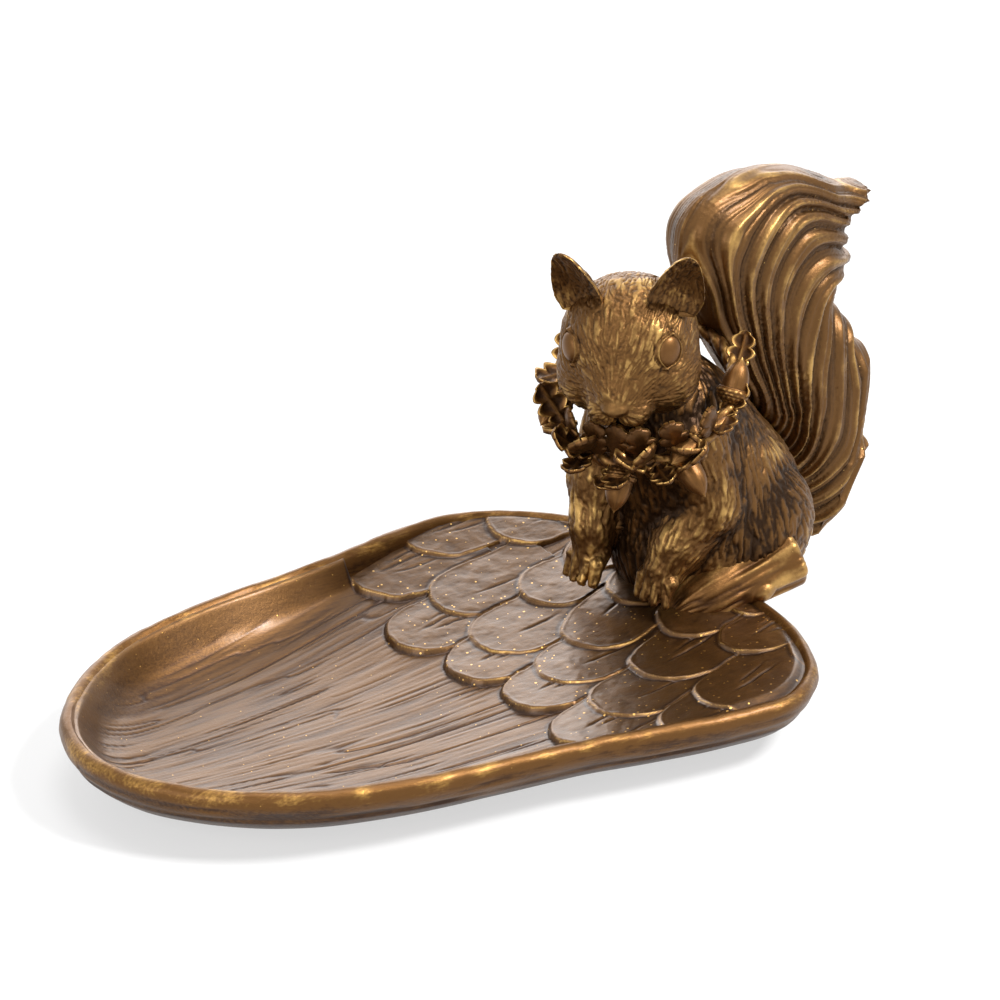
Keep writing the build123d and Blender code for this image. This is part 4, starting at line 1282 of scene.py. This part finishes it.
def setOutTree(form, material):
    tree = bpy.data.node_groups.new("setOut", "GeometryNodeTree")
    inputSocket(tree, "Geometry", "Geometry")
    inputSocket(tree, "Overall Size", "Float", 1.0)
    outputSocket(tree, "Geometry", "Geometry")
    wire = Wiring(tree)
    given = wire.add("NodeGroupInput").outputs

    def stored(name):
        return wire.add("GeometryNodeInputNamedAttribute", {"data_type": "FLOAT"}, Name=name).outputs[0]

    shape = wire.add("GeometryNodeObjectInfo", {"transform_space": "ORIGINAL"}, Object=form)
    angles = wire.add("ShaderNodeCombineXYZ", {}, i0=stored("turnX"), i1=stored("turnY"),
                      i2=stored("turnZ")).outputs[0]
    spin = wire.add("FunctionNodeEulerToRotation", {}, i0=angles).outputs[0]
    size = wire.times(stored("size"), given["Overall Size"])
    stretch = wire.add("ShaderNodeCombineXYZ", {}, i0=size, i1=size, i2=size).outputs[0]
    put = wire.add("GeometryNodeInstanceOnPoints", {}, Points=given["Geometry"],
                   Instance=shape.outputs["Geometry"], Rotation=spin, Scale=stretch)
    real = wire.add("GeometryNodeRealizeInstances", {}, Geometry=put.outputs[0])
    dressed = wire.add("GeometryNodeSetMaterial", {}, Geometry=real.outputs[0], Material=material)
    wire.add("NodeGroupOutput", {}, i0=dressed.outputs[0])
    return tree


def setOut(name, mesh, places, material, nodes):
    form = bpy.data.objects.new(name + "Form", mesh)
    bpy.context.scene.collection.objects.link(form)
    angles = np.array([place.to_euler() for place, size in places])
    layers = {"turnX": angles[:, 0], "turnY": angles[:, 1], "turnZ": angles[:, 2],
              "size": [size for place, size in places]}
    spots = [list(place.translation) for place, size in places]
    carrier = bpy.data.objects.new("places", newMesh("places", spots, [], layers))
    bpy.context.scene.collection.objects.link(carrier)
    layout = carrier.modifiers.new("layout", "NODES")
    layout.node_group = setOutTree(form, material)
    for item in layout.node_group.interface.items_tree:
        if item.in_out == "INPUT" and item.socket_type != "NodeSocketGeometry":
            layout[item.identifier] = item.default_value
    whole = bpy.data.meshes.new_from_object(carrier.evaluated_get(bpy.context.evaluated_depsgraph_get()))
    carrier.modifiers.remove(layout)
    bpy.data.objects.remove(carrier)
    bpy.data.objects.remove(form)
    whole.name = name
    whole.polygons.foreach_set("use_smooth", [True] * len(whole.polygons))
    piece = newPiece(name, whole, material)
    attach(piece, "root")
    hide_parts(*nodes)


def makeTwig():
    rows, columns = int(garland["twigRows"] / fineness) + 1, garland["twigColumns"]
    turn = np.repeat(np.linspace(0, 2 * math.pi, rows), columns)
    angle = np.tile(np.linspace(0, 2 * math.pi, columns, endpoint=False), rows)
    spots = roundAbout(turn, garland["radius"], turn * 0) + roundAbout(angle, 1, angle * 0)
    strand = np.abs(np.sin((angle + turn * garland["vineTurns"]) * 1.5))  # three vines twisted together
    lift = 0.5 * (strand - 0.6) + 0.25 * noise(spots, 1.6, 151)
    size = garland["twig"] + lift
    out = garland["radius"] + np.cos(angle) * size
    points = placed(roundAbout(turn, out, np.sin(angle) * size), garlandFrame)
    mesh = ridged("garlandTwig", points, gridFaces(rows, columns, flip=True), 0.1 + 0.65 * strand)
    piece = newPiece("garlandTwig", sealed(mesh, joinGap), bronze("garland", "twigBronze"))
    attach(piece, "root")
    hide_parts("garland_ring")


def makeGarland():
    makeTwig()
    material = bronze("garland", "garlandBronze")
    sink = Matrix.Translation((garland["sink"], 0, 0))
    places = []
    for angle, turn, lean, size in garland["leaves"]:
        places.append((onRing(angle) @ turned(z=turn) @ turned(y=-lean) @ sink, size))
    setOut("garlandLeaves", leafMesh(), places, material,
           [f"oak_leaf_{place:02d}" for place in range(1, 15)])
    places = []
    for angle, turn, lean in garland["acorns"]:
        out = (onRing(angle) @ turned(z=turn) @ turned(y=lean)
               @ Matrix.Translation((garland["acornReach"], 0, 0)))
        places.append((out @ turned(y=-90), garland["acornSize"]))
    words = ("front", "left_front", "left_cheek", "left_shoulder", "right_cheek")
    for name, form, relief, end in (("Nuts", "nut", nutRelief, "_acorn_nut"),
                                    ("Cups", "cup", cupRelief, "_acorn_cap")):
        mesh = turnedMesh(form + "Form", garland[form], relief)
        setOut("garland" + name, mesh, places, material, [word + end for word in words])


makeGarland()
report("garland")


# The felt under the tray keeps its node and gets a fibrous cloth
def makeFelt():
    material, wire, shader = freshMaterial("feltCloth")
    place = wire.add("ShaderNodeTexCoord").outputs["Object"]
    fibre = wire.noise(place, 0.5, 5, 0.7)
    cloud = wire.noise(place, 9, 3, 0.5)
    share = wire.plus(wire.times(fibre, 0.7), wire.times(cloud, 0.3))
    colour = wire.blend(share, (0.03, 0.018, 0.012, 1), (0.1, 0.066, 0.045, 1))
    relief = wire.add("ShaderNodeBump", {}, Strength=0.8, Distance=0.3 * mm, Height=fibre)
    results = {"Base Color": colour, "Normal": relief.outputs[0], "Roughness": 0.95, "Sheen Weight": 0.4}
    for socket, result in results.items():
        wire.feed(shader.inputs[socket], result)
    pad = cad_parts["felt_pad"]
    pad.data.materials.clear()
    pad.data.materials.append(material)


makeFelt()
report("felt")


# Floor, light and camera

def backdropRays(wire):
    seen = wire.add("ShaderNodeLightPath").outputs
    straight = wire.math("MAXIMUM", seen["Is Camera Ray"], seen["Is Transmission Ray"])
    return wire.math("MAXIMUM", straight, seen["Is Glossy Ray"])


def makeStudio():
    scene = bpy.context.scene
    scene.view_settings.view_transform = "Standard"
    lens = bpy.data.cameras.new("camera")
    lens.lens = studio["lens"]
    lens.sensor_width = studio["sensor"]
    camera = bpy.data.objects.new("camera", lens)
    camera.matrix_world = aimed(studio["cameraPlace"], studio["cameraAim"])
    scene.collection.objects.link(camera)
    scene.camera = camera
    for name, place, aim, width, height, strength in studio["lamps"]:
        light = bpy.data.lights.new(name, "AREA")
        light.shape = "RECTANGLE"
        light.size = width
        light.size_y = height
        light.energy = strength
        lamp = bpy.data.objects.new(name, light)
        lamp.matrix_world = aimed(place, aim)
        scene.collection.objects.link(lamp)

    world = bpy.data.worlds.new("paleRoom")
    scene.world = world
    world.use_nodes = True
    wire = Wiring(world.node_tree)
    backdrop = world.node_tree.nodes["Background"]
    wire.feed(backdrop.inputs["Color"], (1, 1, 1, 1))
    wire.feed(backdrop.inputs["Strength"], wire.ramp(backdropRays(wire), 0.0, 1.0, studio["worldLight"], 1.0))

    half = studio["floorSize"] / 2
    base = bpy.data.meshes.new("floor")
    corners = [(x * half, y * half, 0) for x, y in ((-1, -1), (1, -1), (1, 1), (-1, 1))]
    base.from_pydata(corners, [], [(0, 1, 2, 3)])
    material, wire, shader = freshMaterial("palePaper")
    for socket, value in (("Base Color", (0.9, 0.9, 0.9, 1)), ("Roughness", 0.9), ("Specular IOR Level", 0.1)):
        wire.feed(shader.inputs[socket], value)
    glow = wire.add("ShaderNodeEmission", {}, Color=(1, 1, 1, 1), Strength=1.0)
    share = wire.times(backdropRays(wire), studio["floorGlow"])
    mixed = wire.add("ShaderNodeMixShader", {}, i0=share, i1=shader.outputs[0], i2=glow.outputs[0])
    wire.feed(wire.tree.nodes["Material Output"].inputs["Surface"], mixed.outputs[0])
    floor = newPiece("floor", base, material)


makeStudio()
report("floor, lamps and camera")
